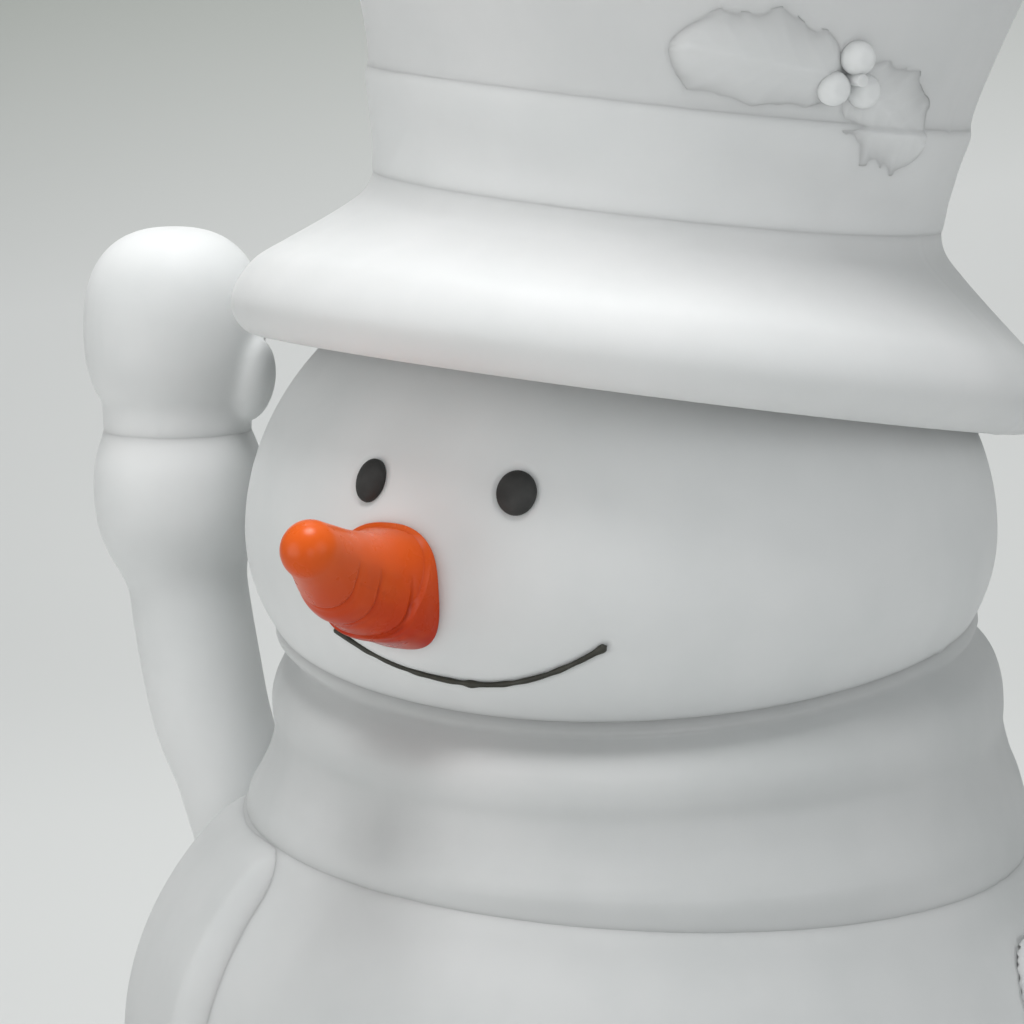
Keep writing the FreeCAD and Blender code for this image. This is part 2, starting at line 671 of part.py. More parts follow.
def bulb_globe():
    """The frosted globe."""
    lower = [(12, 97.1), (14, 104), (22, 116), (29, 130), (30, 142)]
    upper = ellipse_arc(30, 29, 146, 0, 90, 8)
    points = lower + upper
    foot = V(0, 0, lower[0][1])
    closing = [Part.makeLine(V(0, 0, upper[-1][1]), foot), Part.makeLine(foot, V(*lower[0][:1], 0, lower[0][1]))]
    return spun(outline(points), closing)


def switch_body():
    """The latching switch on top of the plate, with its contacts inside."""
    low = PLATE_TOP + 0.1
    can = tube(V(0, 0, low), V(0, 0, low + 16), 11)
    return can.cut(tube(V(0, 0, low - 1), V(0, 0, low + 7), BUTTON_BORE_R))


def power_button():
    """The push button, reached from below the plate."""
    return tube(V(0, 0, 6), V(0, 0, PLATE_TOP + 3), BUTTON_BORE_R - 0.4)


CABLE_END = polar(204, CABLE_AZ, 9.4)


def cable_path():
    """Edges from the plate's hole down to the floor, out under the shell, and up a little to the connector."""
    floor_z, bend = CABLE_R + 0.4, 9.0

    def at(radius, z):
        return polar(radius, CABLE_AZ, z)

    slant = bend * (1 - math.sqrt(0.5))
    down = Part.makeLine(at(CABLE_IN_R, 20), at(CABLE_IN_R, floor_z + bend))
    turn = Part.Arc(at(CABLE_IN_R, floor_z + bend), at(CABLE_IN_R + slant, floor_z + slant),
                    at(CABLE_IN_R + bend, floor_z))
    under = Part.makeLine(at(CABLE_IN_R + bend, floor_z), at(170, floor_z))
    rise = Part.BSplineCurve()
    rise.interpolate(Points=[at(170, floor_z), CABLE_END], InitialTangent=at(30, 0), FinalTangent=at(30, 0))
    return [down, turn.toShape(), under, rise.toShape()]


def power_lead():
    """The two-core lead."""
    path = cable_path()
    ring = Part.Wire(Part.makeCircle(CABLE_R, path[0].valueAt(0), Z_AXIS * -1))
    return Part.Wire(path).makePipeShell([ring], True, True)


def strain_relief():
    """The rubber bush that holds the lead in the plate."""
    top = PLATE_TOP
    ring = tube(polar(CABLE_IN_R, CABLE_AZ, top - 4), polar(CABLE_IN_R, CABLE_AZ, top + 0.1), 5.3)
    flange = tube(polar(CABLE_IN_R, CABLE_AZ, top + 0.1), polar(CABLE_IN_R, CABLE_AZ, top + 3), 8)
    bore = tube(polar(CABLE_IN_R, CABLE_AZ, 0), polar(CABLE_IN_R, CABLE_AZ, 40), CABLE_R + 0.1)
    return ring.fuse(flange).cut(bore)


def connector_frame():
    return CABLE_END, polar(1, CABLE_AZ, 0)


def lead_connector():
    """The waterproof two-pin connector on the end of the lead."""
    start, along = connector_frame()
    barrel = tube(start + along * 0.2, start + along * 16, 6.0)
    nose = tube(start + along * 16, start + along * 34, 4.6)
    return barrel.fuse(nose)


def connector_collar():
    """The threaded collar that turns on the connector."""
    start, along = connector_frame()
    outer = tube(start + along * 16.3, start + along * 31, 8.4)
    return outer.cut(tube(start + along * 16, start + along * 33, 4.6 + RUN))


# ---- everything ---------------------------------------------------------------------------------------------------
def parts():
    return {
        "body_shell": body_shell(),
        "base_ring": base_ring(),
        "belly_buttons": belly_buttons(),
        "belly_push_nuts": push_nuts(button_points()),
        "scarf_wrap": scarf_wrap(),
        "scarf_tail": scarf_tail(),
        "head_shell": head_shell(),
        "right_eye": eye(-1),
        "left_eye": eye(1),
        "eye_push_nuts": push_nuts(eye_sites()),
        "mouth_inlay": mouth_inlay(),
        "carrot_nose": carrot_nose(),
        "nose_retainer": nose_retainer(),
        "hat_shell": hat_shell(),
        "hat_band": hat_band(),
        "holly_leaf_front": holly_leaf(175, 80, 42),
        "holly_leaf_rear": holly_leaf(-28, 60, 46),
        "holly_berries": holly_berries(),
        "holly_pin": holly_pin(),
        "right_sleeve": right_sleeve(),
        "right_mitten": right_mitten(),
        "left_sleeve": left_sleeve(),
        "left_mitten": left_mitten(),
        "lamp_plate": lamp_plate(),
        "plate_seal": plate_seal(),
        "lamp_stand": lamp_stand(),
        "lamp_holder": lamp_holder(),
        "holder_nut": holder_nut(),
        "bulb_cap": bulb_cap(),
        "bulb_globe": bulb_globe(),
        "switch_body": switch_body(),
        "power_button": power_button(),
        "strain_relief": strain_relief(),
        "power_lead": power_lead(),
        "lead_connector": lead_connector(),
        "connector_collar": connector_collar(),
    }


os.makedirs("parts", exist_ok=True)
for name, shape in parts().items():
    print(name, "valid", shape.isValid(), "solids", len(shape.Solids), "volume", round(shape.Volume))
    shape.exportStep(f"parts/{name}.step")
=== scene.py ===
"""Looks for the light-up yard snowman: soft moulded skins, orange nose and black details on the CAD frame."""
import json
import math

import bmesh
import bpy
import numpy as np
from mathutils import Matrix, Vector


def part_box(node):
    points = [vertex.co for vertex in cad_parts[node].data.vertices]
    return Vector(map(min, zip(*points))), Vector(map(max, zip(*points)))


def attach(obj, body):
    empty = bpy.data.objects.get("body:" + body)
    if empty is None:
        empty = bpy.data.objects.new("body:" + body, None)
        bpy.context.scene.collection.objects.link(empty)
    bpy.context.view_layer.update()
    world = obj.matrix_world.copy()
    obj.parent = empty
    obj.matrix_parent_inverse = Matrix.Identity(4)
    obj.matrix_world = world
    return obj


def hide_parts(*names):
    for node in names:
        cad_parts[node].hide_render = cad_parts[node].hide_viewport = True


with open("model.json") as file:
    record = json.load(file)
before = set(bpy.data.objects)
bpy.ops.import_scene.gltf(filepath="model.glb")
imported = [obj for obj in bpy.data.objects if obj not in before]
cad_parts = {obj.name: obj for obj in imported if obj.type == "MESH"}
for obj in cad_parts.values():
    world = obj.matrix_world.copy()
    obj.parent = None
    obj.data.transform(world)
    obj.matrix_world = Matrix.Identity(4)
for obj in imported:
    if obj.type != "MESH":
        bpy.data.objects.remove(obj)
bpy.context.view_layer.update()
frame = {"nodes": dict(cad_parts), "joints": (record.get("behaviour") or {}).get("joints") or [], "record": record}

MM = 0.001
UP = np.array([0.0, 0.0, 1.0])

# ---- sizes, in millimetres unless they come from the frame ---------------------------------------
WALL = 3.0
HEAD_Z, HEAD_R, HEAD_UP, HEAD_DOWN = 510.0, 165.0, 132.0, 107.0
BODY_Z, BODY_R, BODY_UP = 285.0, 213.0, 157.0
NECK_R, SEAT_Z = 94.0, 414.0
BRIM_SLANT, BRIM_HIGH_AZ = 0.097, 14.0  # the brim's rings rise towards this azimuth, by this slope
BRIM_FULL_Z, BRIM_FLAT_Z = 95.0, 143.0  # full slant below the first height, none above the second
SCARF_R, SCARF_SHIFT, SCARF_SHIFT_AZ = 173.0, 8.5, 90.0
LIP_Z, LIP_DIP, SCARF_DIP_AZ = 462.0, 18.0, 15.0        # the scarf's lip is lowest at this azimuth
TAIL_FRONT, TAIL_BACK, TAIL_THICK = -27.0, -70.0, 9.0
TAIL_TOP, TAIL_FOOT = 394.0, 222.0
FRINGE_FOOT, TASSELS = 206.0, 13
BUTTON_HEIGHTS = (285.0, 225.0, 165.0)
RAISED_AZ = -83.0
PLUG_R, PLUG_SKIN_R = 26.0, 25.9        # the CAD plug, and the sleeve's skin just inside its socket
HANG_X = 256.0                          # the hanging forearm's distance from the middle
HOLLY_AZ, HOLLY_Z = 58.0, 207.0
BERRY_R, BERRY_SPREAD, BERRY_OUT = 7.0, 8.5, 136.0      # size, spacing and distance from the hat's axis
EYE_AZ, EYE_DZ, EYE_HALF = 12.3, 38.0, (8.2, 9.1)
RIGHT_EYE_WIDTH = 0.88                  # the right eye's width as a share of the left's
MOUTH_START, MOUTH_END = -19.8, 25.6    # azimuths
MOUTH_LOW_AZ, MOUTH_LOW_DZ = 4.5, -42.0
NOSE_AZ, NOSE_DZ, NOSE_LIFT, NOSE_LENGTH = -6.5, -4.0, 23.0, 64.0
NOSE_ROOT, NOSE_TIP_REACH = 14.0, 11.9  # how far it starts inside the head and its ball end reaches
NOSE_GROOVES = (0.40, 0.60, 0.79)       # places of the growth rings along it
SEAM_PROUD, SEAM_WIDE = 0.35, 1.6       # the mould's parting line
RAISED_SEAT, HANG_SEAT = 1.2, 0.4       # how far the rims of the shoulder sockets stand proud
SCARF_SWELL = 3.2                       # rise of the body where it meets the scarf
EYE_SEAT, NOSE_SEAT, MOUTH_GROOVE = 0.9, 1.3, 1.3       # depth, height and depth of their marks
CAMERA_AZ, CAMERA_EL, CAMERA_DISTANCE, CAMERA_LENS = 27.3, 9.3, 1433.0, 114.0
AIM_LEFT, AIM_UP = 47.7, 5.8            # the camera aims past the head's centre, in its own frame


# ---- frame lookups -------------------------------------------------------------------------------
def joint(name):
    return next(j for j in frame["joints"] if j["name"] == name)


def unit(vector):
    return np.asarray(vector, float) / np.linalg.norm(vector)


def flat(azimuth):
    """Horizontal unit vector at an azimuth from the front towards the snowman's left."""
    a = math.radians(azimuth)
    return np.array([math.sin(a), -math.cos(a), 0.0])


HAT_AXIS = unit(joint("hat_lift")["axis"])
HAT_SIDE = unit(np.cross(UP, HAT_AXIS))
RAISED_AXIS = unit(joint("right_arm_twist")["axis"])
RAISED_FOOT = np.array(joint("right_arm_twist")["pos_m"]) / MM
HANG_FOOT = np.array(joint("left_arm_swing")["pos_m"]) / MM
HANG_AXIS = unit(joint("left_arm_swing")["axis"])


def turned_to_hat(points):
    """From the hat's own frame, whose origin is the head's centre, to the row's frame."""
    angle = math.acos(HAT_AXIS @ UP)
    c, s = math.cos(angle), math.sin(angle)
    p = np.asarray(points, float)
    along = (p @ HAT_SIDE)[..., None] * HAT_SIDE
    return p * c + np.cross(HAT_SIDE, p) * s + along * (1 - c) + np.array([0, 0, HEAD_Z])


# ---- curves and meshes ---------------------------------------------------------------------------
def smooth(points, spacing):
    """Samples of a curve through points of any dimension, about spacing apart."""
    p = np.asarray(points, float)
    step = np.maximum(np.linalg.norm(np.diff(p, axis=0), axis=1), 1e-6) ** 0.5
    slope = np.diff(p, axis=0) / step[:, None]
    tangent = np.empty_like(p)
    tangent[0], tangent[-1] = slope[0], slope[-1]
    mixed = slope[:-1] * step[1:, None] + slope[1:] * step[:-1, None]
    tangent[1:-1] = mixed / (step[1:] + step[:-1])[:, None]
    found = []
    for i, h in enumerate(step):
        count = max(2, int(np.linalg.norm(p[i + 1] - p[i]) / spacing))
        t = np.linspace(0, 1, count, endpoint=False)[:, None]
        found.append((2 * t ** 3 - 3 * t ** 2 + 1) * p[i] + (t ** 3 - 2 * t ** 2 + t) * h * tangent[i]
                     + (3 * t ** 2 - 2 * t ** 3) * p[i + 1] + (t ** 3 - t ** 2) * h * tangent[i + 1])
    return np.vstack(found + [p[-1:]])


def arc(radius, half_height, z, start, end, steps=14):
    """(r, z) points of an elliptic arc."""
    t = np.radians(np.linspace(start, end, steps))
    return np.stack([radius * np.cos(t), z + half_height * np.sin(t)], 1)


def bell(x, centre, width):
    return np.exp(-((x - centre) / width) ** 2)


def ramp(x, low, high):
    """Eased step from 0 at low to 1 at high."""
    t = np.clip((x - low) / (high - low), 0, 1)
    return t * t * (3 - 2 * t)


def parting_line(azimuth, r, proud=SEAM_PROUD, wide=SEAM_WIDE):
    """A low ridge down both sides, where the halves of the mould met."""
    off = np.minimum(np.abs(azimuth - 90), np.abs(azimuth - 270)) * math.pi / 180 * r
    return proud * bell(off, 0, wide)


def make_mesh(name, points, faces):
    """A clean smooth-shaded object in metres from points in millimetres."""
    mesh = bpy.data.meshes.new(name)
    mesh.from_pydata((np.asarray(points, float) * MM).tolist(), [], faces)
    bm = bmesh.new()
    bm.from_mesh(mesh)
    bmesh.ops.remove_doubles(bm, verts=bm.verts, dist=1e-6)
    bmesh.ops.dissolve_degenerate(bm, edges=bm.edges, dist=1e-7)
    bmesh.ops.recalc_face_normals(bm, faces=bm.faces)
    bm.to_mesh(mesh)
    bm.free()
    mesh.shade_smooth()
    piece = bpy.data.objects.new(name, mesh)
    bpy.context.scene.collection.objects.link(piece)
    return piece


def grid_faces(rows, columns, wrap=True, loop=False):
    """Quads of a grid; wrap joins the last column to the first, loop the last row to the first."""
    faces = []
    for i in range(rows if loop else rows - 1):
        below = (i + 1) % rows
        for j in range(columns if wrap else columns - 1):
            k = (j + 1) % columns
            faces.append((i * columns + j, i * columns + k, below * columns + k, below * columns + j))
    return faces


def spun_points(profile, azimuths, relief=None):
    """Points of a surface of revolution, pushed along its normals by relief(azimuth, r, z)."""
    profile = np.asarray(profile, float)
    along = np.gradient(profile, axis=0)
    along /= np.maximum(np.linalg.norm(along, axis=1), 1e-9)[:, None]
    az = np.radians(azimuths)[None, :]
    r, z = profile[:, :1] + 0 * az, profile[:, 1:] + 0 * az
    if relief is not None:
        push = relief(np.degrees(az) + 0 * r, r, z)
        r, z = r + push * along[:, 1:], z - push * along[:, :1]
    r = np.maximum(r, 0.0)
    return np.stack([r * np.sin(az), -r * np.cos(az), z], 2)


def spun(name, profile, columns=256, relief=None, loop=False, place=None, azimuths=None):
    """A moulded piece of revolution. Its outer side is on the right of the profile's direction of travel."""
    if azimuths is None:
        azimuths = np.arange(columns) * 360.0 / columns
    points = spun_points(profile, azimuths, relief)
    if place is not None:
        points = place(points)
    return make_mesh(name, points.reshape(-1, 3), grid_faces(len(profile), len(azimuths), True, loop))


def tube_points(path, radii, columns, squeeze=None):
    """Rings square to a path, carried along it without twist; squeeze(t, angle) scales the radius."""
    path = np.asarray(path, float)
    along = np.gradient(path, axis=0)
    along /= np.linalg.norm(along, axis=1)[:, None]
    side = unit(np.cross(along[0], flat(17.0) + UP * 0.31))
    angles = np.linspace(0, 2 * math.pi, columns, endpoint=False)
    rings = []
    for i, (centre, radius) in enumerate(zip(path, radii)):
        side = unit(side - (side @ along[i]) * along[i])
        other = np.cross(along[i], side)
        scale = 1.0 if squeeze is None else squeeze(i / (len(path) - 1), angles)[:, None]
        ring = np.cos(angles)[:, None] * side + np.sin(angles)[:, None] * other
        rings.append(centre + ring * radius * scale)
    return np.array(rings)


def apply_modifiers(piece):
    """Bakes a piece's modifiers into its mesh."""
    depsgraph = bpy.context.evaluated_depsgraph_get()
    mesh = bpy.data.meshes.new_from_object(piece.evaluated_get(depsgraph))
    piece.modifiers.clear()
    piece.data = mesh
    mesh.shade_smooth()


def gathered(name, grids):
    """One object from several point grids."""
    points, faces = [], []
    for grid in grids:
        start = len(points)
        points.extend(grid.reshape(-1, 3))
        faces.extend(tuple(start + v for v in face) for face in grid_faces(*grid.shape[:2]))
    return make_mesh(name, points, faces)


def blended(name, lumps, voxel=1.8, rounds=14):
    """One soft moulding from overlapping closed point grids: remeshed together and smoothed."""
    piece = gathered(name, lumps)
    remesh = piece.modifiers.new("melt", "REMESH")
    remesh.mode = "VOXEL"
    remesh.voxel_size = voxel * MM
    soften = piece.modifiers.new("soften", "SMOOTH")
    soften.factor = 0.5
    soften.iterations = rounds
    apply_modifiers(piece)
    return piece


def ball(centre, half, azimuth=0.0, lean=0.0, rows=24, columns=32, fullness=2.0):
    """An ellipsoid as a point grid, turned and leaned outwards; fullness above 2 squares it up."""
    t = np.linspace(-math.pi / 2, math.pi / 2, rows)[:, None]
    a = np.linspace(0, 2 * math.pi, columns, endpoint=False)[None, :]
    ring = np.maximum(1 - np.abs(np.sin(t)) ** fullness, 0) ** (1 / fullness)
    x, y, z = half[0] * ring * np.cos(a), half[1] * ring * np.sin(a), half[2] * np.sin(t) + 0 * a
    outward, across = flat(azimuth), flat(azimuth + 90)
    c, s = math.cos(math.radians(lean)), math.sin(math.radians(lean))
    high = UP * c + outward * s
    wide = outward * c - UP * s
    return np.asarray(centre) + x[..., None] * wide + y[..., None] * across + z[..., None] * high


# ---- materials -----------------------------------------------------------------------------------
class Nodes:
    """A short way to write node trees."""

    def __init__(self, name):
        self.material = bpy.data.materials.new(name)
        self.material.use_nodes = True
        self.tree = self.material.node_tree
        self.shader = self.tree.nodes["Principled BSDF"]
        self.place = self.add("ShaderNodeTexCoord").outputs["Object"]

    def add(self, kind, inputs=(), **settings):
        node = self.tree.nodes.new(kind)
        for key, value in settings.items():
            setattr(node, key, value)
        for key, value in dict(inputs).items():
            self.put(node.inputs[key], value)
        return node

    def put(self, socket, value):
        if isinstance(value, bpy.types.NodeSocket):
            self.tree.links.new(value, socket)
        else:
            socket.default_value = value

    def noise(self, scale, detail=3.0, rough=0.5, place=None):
        inputs = {"Vector": place or self.place, "Scale": scale, "Detail": detail, "Roughness": rough}
        return self.add("ShaderNodeTexNoise", inputs).outputs["Fac"]

    def span(self, value, low, high, out_low, out_high):
        inputs = {"Value": value, "From Min": low, "From Max": high, "To Min": out_low, "To Max": out_high}
        return self.add("ShaderNodeMapRange", inputs).outputs["Result"]

    def tint(self, factor, a, b):
        node = self.add("ShaderNodeMix", data_type="RGBA")
        self.put(node.inputs[0], factor)
        self.put(node.inputs[6], (*a, 1.0) if isinstance(a, tuple) else a)
        self.put(node.inputs[7], (*b, 1.0) if isinstance(b, tuple) else b)
        return node.outputs[2]

    def bump(self, height, distance, strength=1.0, below=None):
        inputs = {"Height": height, "Distance": distance * MM, "Strength": strength}
        if below is not None:
            inputs["Normal"] = below
        return self.add("ShaderNodeBump", inputs).outputs["Normal"]

    def finish(self, **inputs):
        for key, value in inputs.items():
            self.put(self.shader.inputs[key.replace("_", " ")], value)
        return self.material


def white_plastic(name, light, grey):
    """Satin, slightly see-through polyethylene with soft flow marks, a fine blasted grain and painted shade in its
    creases.
    """
    n = Nodes(name)
    cloud = n.noise(14.0, 4.0)
    crease = n.add("ShaderNodeNewGeometry").outputs["Pointiness"]
    colour = n.tint(n.span(cloud, 0.35, 0.65, 0.0, 1.0), light, grey)
    # Painted shade: low pointiness greys the creases towards (0.62, 0.63, 0.62).
    colour = n.tint(n.span(crease, 0.44, 0.5, 0.1, 0.0), colour, (0.62, 0.63, 0.62))
    ripple = n.bump(n.noise(32.0, 2.0), 0.9, 0.25)
    grain = n.bump(n.noise(1500.0, 2.0), 0.05, 0.35, ripple)
    rough = n.span(n.noise(45.0, 4.0), 0.3, 0.7, 0.50, 0.62)
    return n.finish(Base_Color=colour, Roughness=rough, Normal=grain, Subsurface_Weight=0.6,
                    Subsurface_Radius=(1.0, 1.0, 1.0), Subsurface_Scale=0.013, Specular_IOR_Level=0.40)


def orange_plastic():
    """Dyed vinyl with painted light and shade: paler and yellower on top, deep red-orange below, darker in the
    grooves.
    """
    n = Nodes("orange vinyl")
    low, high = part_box("carrot_nose")
    height = n.add("ShaderNodeSeparateXYZ", {"Vector": n.place}).outputs["Z"]
    # Painted light and shade: lit orange at the top, deep red-orange towards the bottom.
    painted_light_by_height = n.span(height, low.z + 0.008, high.z, 0.0, 1.0)
    colour = n.tint(painted_light_by_height, (0.44, 0.016, 0.001), (0.78, 0.125, 0.012))
    colour = n.tint(n.span(n.noise(60.0, 4.0), 0.5, 0.75, 0.0, 0.3), colour, (0.80, 0.12, 0.01))
    crease = n.add("ShaderNodeNewGeometry").outputs["Pointiness"]
    # Painted shade: low pointiness darkens the grooves to deep red.
    colour = n.tint(n.span(crease, 0.42, 0.5, 0.7, 0.0), colour, (0.30, 0.012, 0.001))
    ripple = n.bump(n.noise(120.0, 3.0), 0.30, 0.3)
    rough = n.span(n.noise(90.0, 3.0), 0.3, 0.7, 0.24, 0.36)
    return n.finish(Base_Color=colour, Roughness=rough, Normal=ripple, Subsurface_Weight=0.05,
                    Subsurface_Radius=(1.0, 0.25, 0.05), Subsurface_Scale=0.003, Specular_IOR_Level=0.25)


def dark_plastic(name, colour, rough_low, rough_high, grain=0.12, scale=700.0):
    """Black or dark moulded plastic or rubber with a fine texture and greyed dust."""
    n = Nodes(name)
    dusty = tuple(min(1.0, channel * 1.7 + 0.012) for channel in colour)
    base = n.tint(n.span(n.noise(80.0, 5.0), 0.4, 0.75, 0.0, 1.0), colour, dusty)
    bump = n.bump(n.noise(scale, 3.0), grain, 0.6)
    rough = n.span(n.noise(150.0, 3.0), 0.3, 0.7, rough_low, rough_high)
    return n.finish(Base_Color=base, Roughness=rough, Normal=bump)


def metal(name, colour, rough_low, rough_high):
    """Plated metal with a drawn grain."""
    n = Nodes(name)
    stretched = n.add("ShaderNodeMapping", {"Vector": n.place, "Scale": (1.0, 1.0, 14.0)}).outputs["Vector"]
    streak = n.noise(160.0, 4.0, 0.6, stretched)
    base = n.tint(streak, colour, tuple(channel * 0.78 for channel in colour))
    bump = n.bump(streak, 0.03, 0.5)
    rough = n.span(streak, 0.3, 0.7, rough_low, rough_high)
    return n.finish(Base_Color=base, Metallic=1.0, Roughness=rough, Normal=bump)


def frosted_glass():
    """The globe's etched glass."""
    n = Nodes("frosted glass")
    cloud = n.noise(60.0, 4.0)
    colour = n.tint(cloud, (0.92, 0.91, 0.87), (0.82, 0.81, 0.78))
    bump = n.bump(n.noise(900.0, 2.0), 0.05, 0.5)
    return n.finish(Base_Color=colour, Roughness=n.span(cloud, 0.3, 0.7, 0.30, 0.42), Normal=bump,
                    Transmission_Weight=0.25, Subsurface_Weight=0.4, Subsurface_Scale=0.004)


# ---- body ----------------------------------------------------------------------------------------
def body_profile():
    """The body from its bottom edge to the neck's top, with a short return inside each end."""
    lower = [(160, 30), (160, 6.2), (163, 6), (172, 22), (190, 72), (205, 145), (212, 225)]
    upper = arc(BODY_R, BODY_UP, BODY_Z, 0, 53, 9)
    seat = [(108, SEAT_Z - 3), (99, SEAT_Z - 1.5), (NECK_R, SEAT_Z + 4)]
    neck = [(NECK_R, 440), (92, 445.5), (89, 446), (89, 420)]
    return smooth(np.vstack([lower, upper, seat, neck]), 2.6)


def body_relief(azimuth, r, z):
    """Soft seats round the shoulder sockets, a swelling that meets the scarf and the mould's parting line."""
    a = np.radians(azimuth)
    place = np.stack([r * np.sin(a), -r * np.cos(a), z], -1)
    push = np.zeros_like(r)
    for foot, axis, proud in ((RAISED_FOOT, RAISED_AXIS, RAISED_SEAT), (HANG_FOOT, HANG_AXIS, HANG_SEAT)):
        away = place - foot
        ahead = away @ axis
        distance = np.linalg.norm(away - ahead[..., None] * axis, axis=-1)
        push += proud * bell(distance, PLUG_R + 7, 6.0) * (ahead > 0)
    push += parting_line(azimuth, r) * (r > NECK_R + 4)
    return push + SCARF_SWELL * bell(r - scarf_place(azimuth)[0], -3, 7.5) * (z > BODY_Z)


def cut_round_hole(piece, foot, axis, radius, depth):
    """Opens a round hole along an axis in a fine skin, with a clean rim and a short wall inside."""
    bm = bmesh.new()
    bm.from_mesh(piece.data)
    foot, axis = Vector(foot * MM), Vector(axis)

    def off_axis(point):
        away = point - foot
        ahead = away.dot(axis)
        return away - axis * ahead, ahead

    near = []
    for face in bm.faces:
        away, ahead = off_axis(face.calc_center_median())
        if ahead > 0 and away.length < radius * MM:
            near.append(face)
    bmesh.ops.delete(bm, geom=near, context="FACES")
    rim = [e for e in bm.edges if e.is_boundary and off_axis(e.verts[0].co)[1] > 0
           and off_axis(e.verts[0].co)[0].length < (radius + 6) * MM]
    for vertex in {v for e in rim for v in e.verts}:
        away, ahead = off_axis(vertex.co)
        vertex.co = foot + axis * ahead + away.normalized() * radius * MM
    made = bmesh.ops.extrude_edge_only(bm, edges=rim)["geom"]
    for vertex in (g for g in made if isinstance(g, bmesh.types.BMVert)):
        vertex.co -= axis * depth * MM
    bmesh.ops.recalc_face_normals(bm, faces=bm.faces)
    bm.to_mesh(piece.data)
    bm.free()
    piece.data.shade_smooth()


def body_skin():
    """The body, open at the shoulders."""
    piece = spun("body_skin", body_profile(), 480, body_relief)
    for foot, axis in ((RAISED_FOOT, RAISED_AXIS), (HANG_FOOT, HANG_AXIS)):
        cut_round_hole(piece, foot, axis, PLUG_R + 0.3, 8)
    return piece


def button_skins():
    """Belly buttons with a rolled edge and a shallow dish, as wide as the CAD buttons."""
    low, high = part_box("belly_buttons")
    half = (high.x - low.x) / 2 / MM
    dish = [(0, 3.4), (half * 0.55, 3.7), (half * 0.86, 4.2)]
    rim = [(half * 0.98, 2.6), (half, 0.2), (half, -1.5)]
    profile = smooth(dish + rim, 0.7)
    pieces = []
    for index, z in enumerate(BUTTON_HEIGHTS):
        front = np.interp(z, [145, 225, 285], [205, 212, 213])
        slope = 0.0 if z > 225 else (225 - z) / 600.0
        normal = unit([0, -1, -slope])
        place = np.array([0, -front, z])
        pieces.append(disc_on(f"belly_button_{index + 1}", profile, place, normal, 1.0, 1.04))
    return pieces


def disc_on(name, profile, place, normal, wide, tall):
    """A round moulding standing on a surface: profile is (radius, height) from the middle outwards."""
    angles = np.linspace(0, 2 * math.pi, 72, endpoint=False)
    across = unit(np.cross(UP, normal))
    upward = np.cross(normal, across)
    ring = np.cos(angles)[:, None] * across * wide + np.sin(angles)[:, None] * upward * tall
    points = [place + ring * r + normal * h for r, h in profile]
    return make_mesh(name, np.array(points).reshape(-1, 3), grid_faces(len(profile), len(angles)))


# ---- scarf ---------------------------------------------------------------------------------------
def head_radius(z):
    """Radius of the head below its widest ring."""
    return HEAD_R * np.sqrt(np.maximum(1 - ((z - HEAD_Z) / HEAD_DOWN) ** 2, 0))


def body_height(radius):
    """Height of the body's shoulder at a radius."""
    return BODY_Z + BODY_UP * np.sqrt(1 - (radius / BODY_R) ** 2)


def scarf_place(azimuths):
    """The lower roll's radius and the lip's height at each azimuth."""
    off = np.radians(azimuths - SCARF_DIP_AZ)
    lip = LIP_Z - LIP_DIP * np.cos(off) + 4 * np.sin(off) ** 2
    return SCARF_R + SCARF_SHIFT * np.cos(np.radians(azimuths - SCARF_SHIFT_AZ)), lip


def scarf_grid(azimuths):
    """Closed outlines round the scarf: over the lower roll, the valley and the lip to the head, and back."""
    roll, lip = scarf_place(azimuths)
    crease = body_height(roll)
    side = [(-1, 386, 0), (-1.6, 394, 0.1), (-4.5, 404, 0.25), (-9, 415, 0.32), (-11.8, 427, 0.38),
            (-11.6, 438, 0.5), (-12.6, 448, 0.64), (-16, 457.5, 0.82), (-22.5, 464.8, 0.95)]
    side = [(roll + r, z - (470 - lip) * drop) for r, z, drop in side]
    side[0] = (roll - 0.3, np.maximum(side[0][1], crease + 6))
    side[1] = (side[1][0], np.maximum(side[1][1], crease + 12))
    edge = head_radius(lip)
    side += [(edge + 0.45 * (side[-1][0] - edge) + 1, lip - 0.4), (edge + 5.5, lip + 1.6)]
    side = [(np.maximum(r, head_radius(z) + 0.8), z) for r, z in side]
    tucks = ((6.0, 0.7), (9.0, -0.3), (4, -1.0), (-3, -0.2))
    hem = [(head_radius(lip + up) + proud, lip + up) for up, proud in tucks]
    foot = [(roll - 4, crease - 12), (roll - 1, crease - 3)]
    inside = [(r - 6, z - 4) for r, z in side[-3:1:-2]] + [(roll - 10, crease - 4)]
    rings = foot + side + hem + inside + foot[:1]
    knots = np.array([np.stack(np.broadcast_arrays(r, z), -1) for r, z in rings])
    samples = smooth(knots.reshape(len(knots), -1), 1.7 * math.sqrt(len(azimuths)))
    return samples[:-1].reshape(-1, len(azimuths), 2), crease


def scarf_skin():
    """The wrap, with slow waves as in draped cloth."""
    azimuths = np.arange(384) * 360 / 384
    grid, crease = scarf_grid(azimuths)
    a = np.radians(azimuths)[None, :]
    r, z = grid[..., 0], grid[..., 1]
    wave = 0.9 * np.sin(3 * a + 0.6 + (z - 400) / 55) + 0.5 * np.sin(7 * a - (z - 400) / 30)
    outer = np.arange(len(grid))[:, None] < len(grid) * 0.5
    r = r + wave * ramp(z - crease, 8, 20) * (1 - ramp(z, 418, 440)) * outer
    points = np.stack([r * np.sin(a), -r * np.cos(a), z], -1)
    return make_mesh("scarf_wrap_skin", points.reshape(-1, 3), grid_faces(*points.shape[:2], True, True))


def body_radius(z):
    """Radius of the body's skin at a height."""
    outline = body_profile()
    outer = outline[(outline[:, 1] > 6) & (outline[:, 0] > 99)]
    return np.interp(z, outer[:, 1], outer[:, 0])


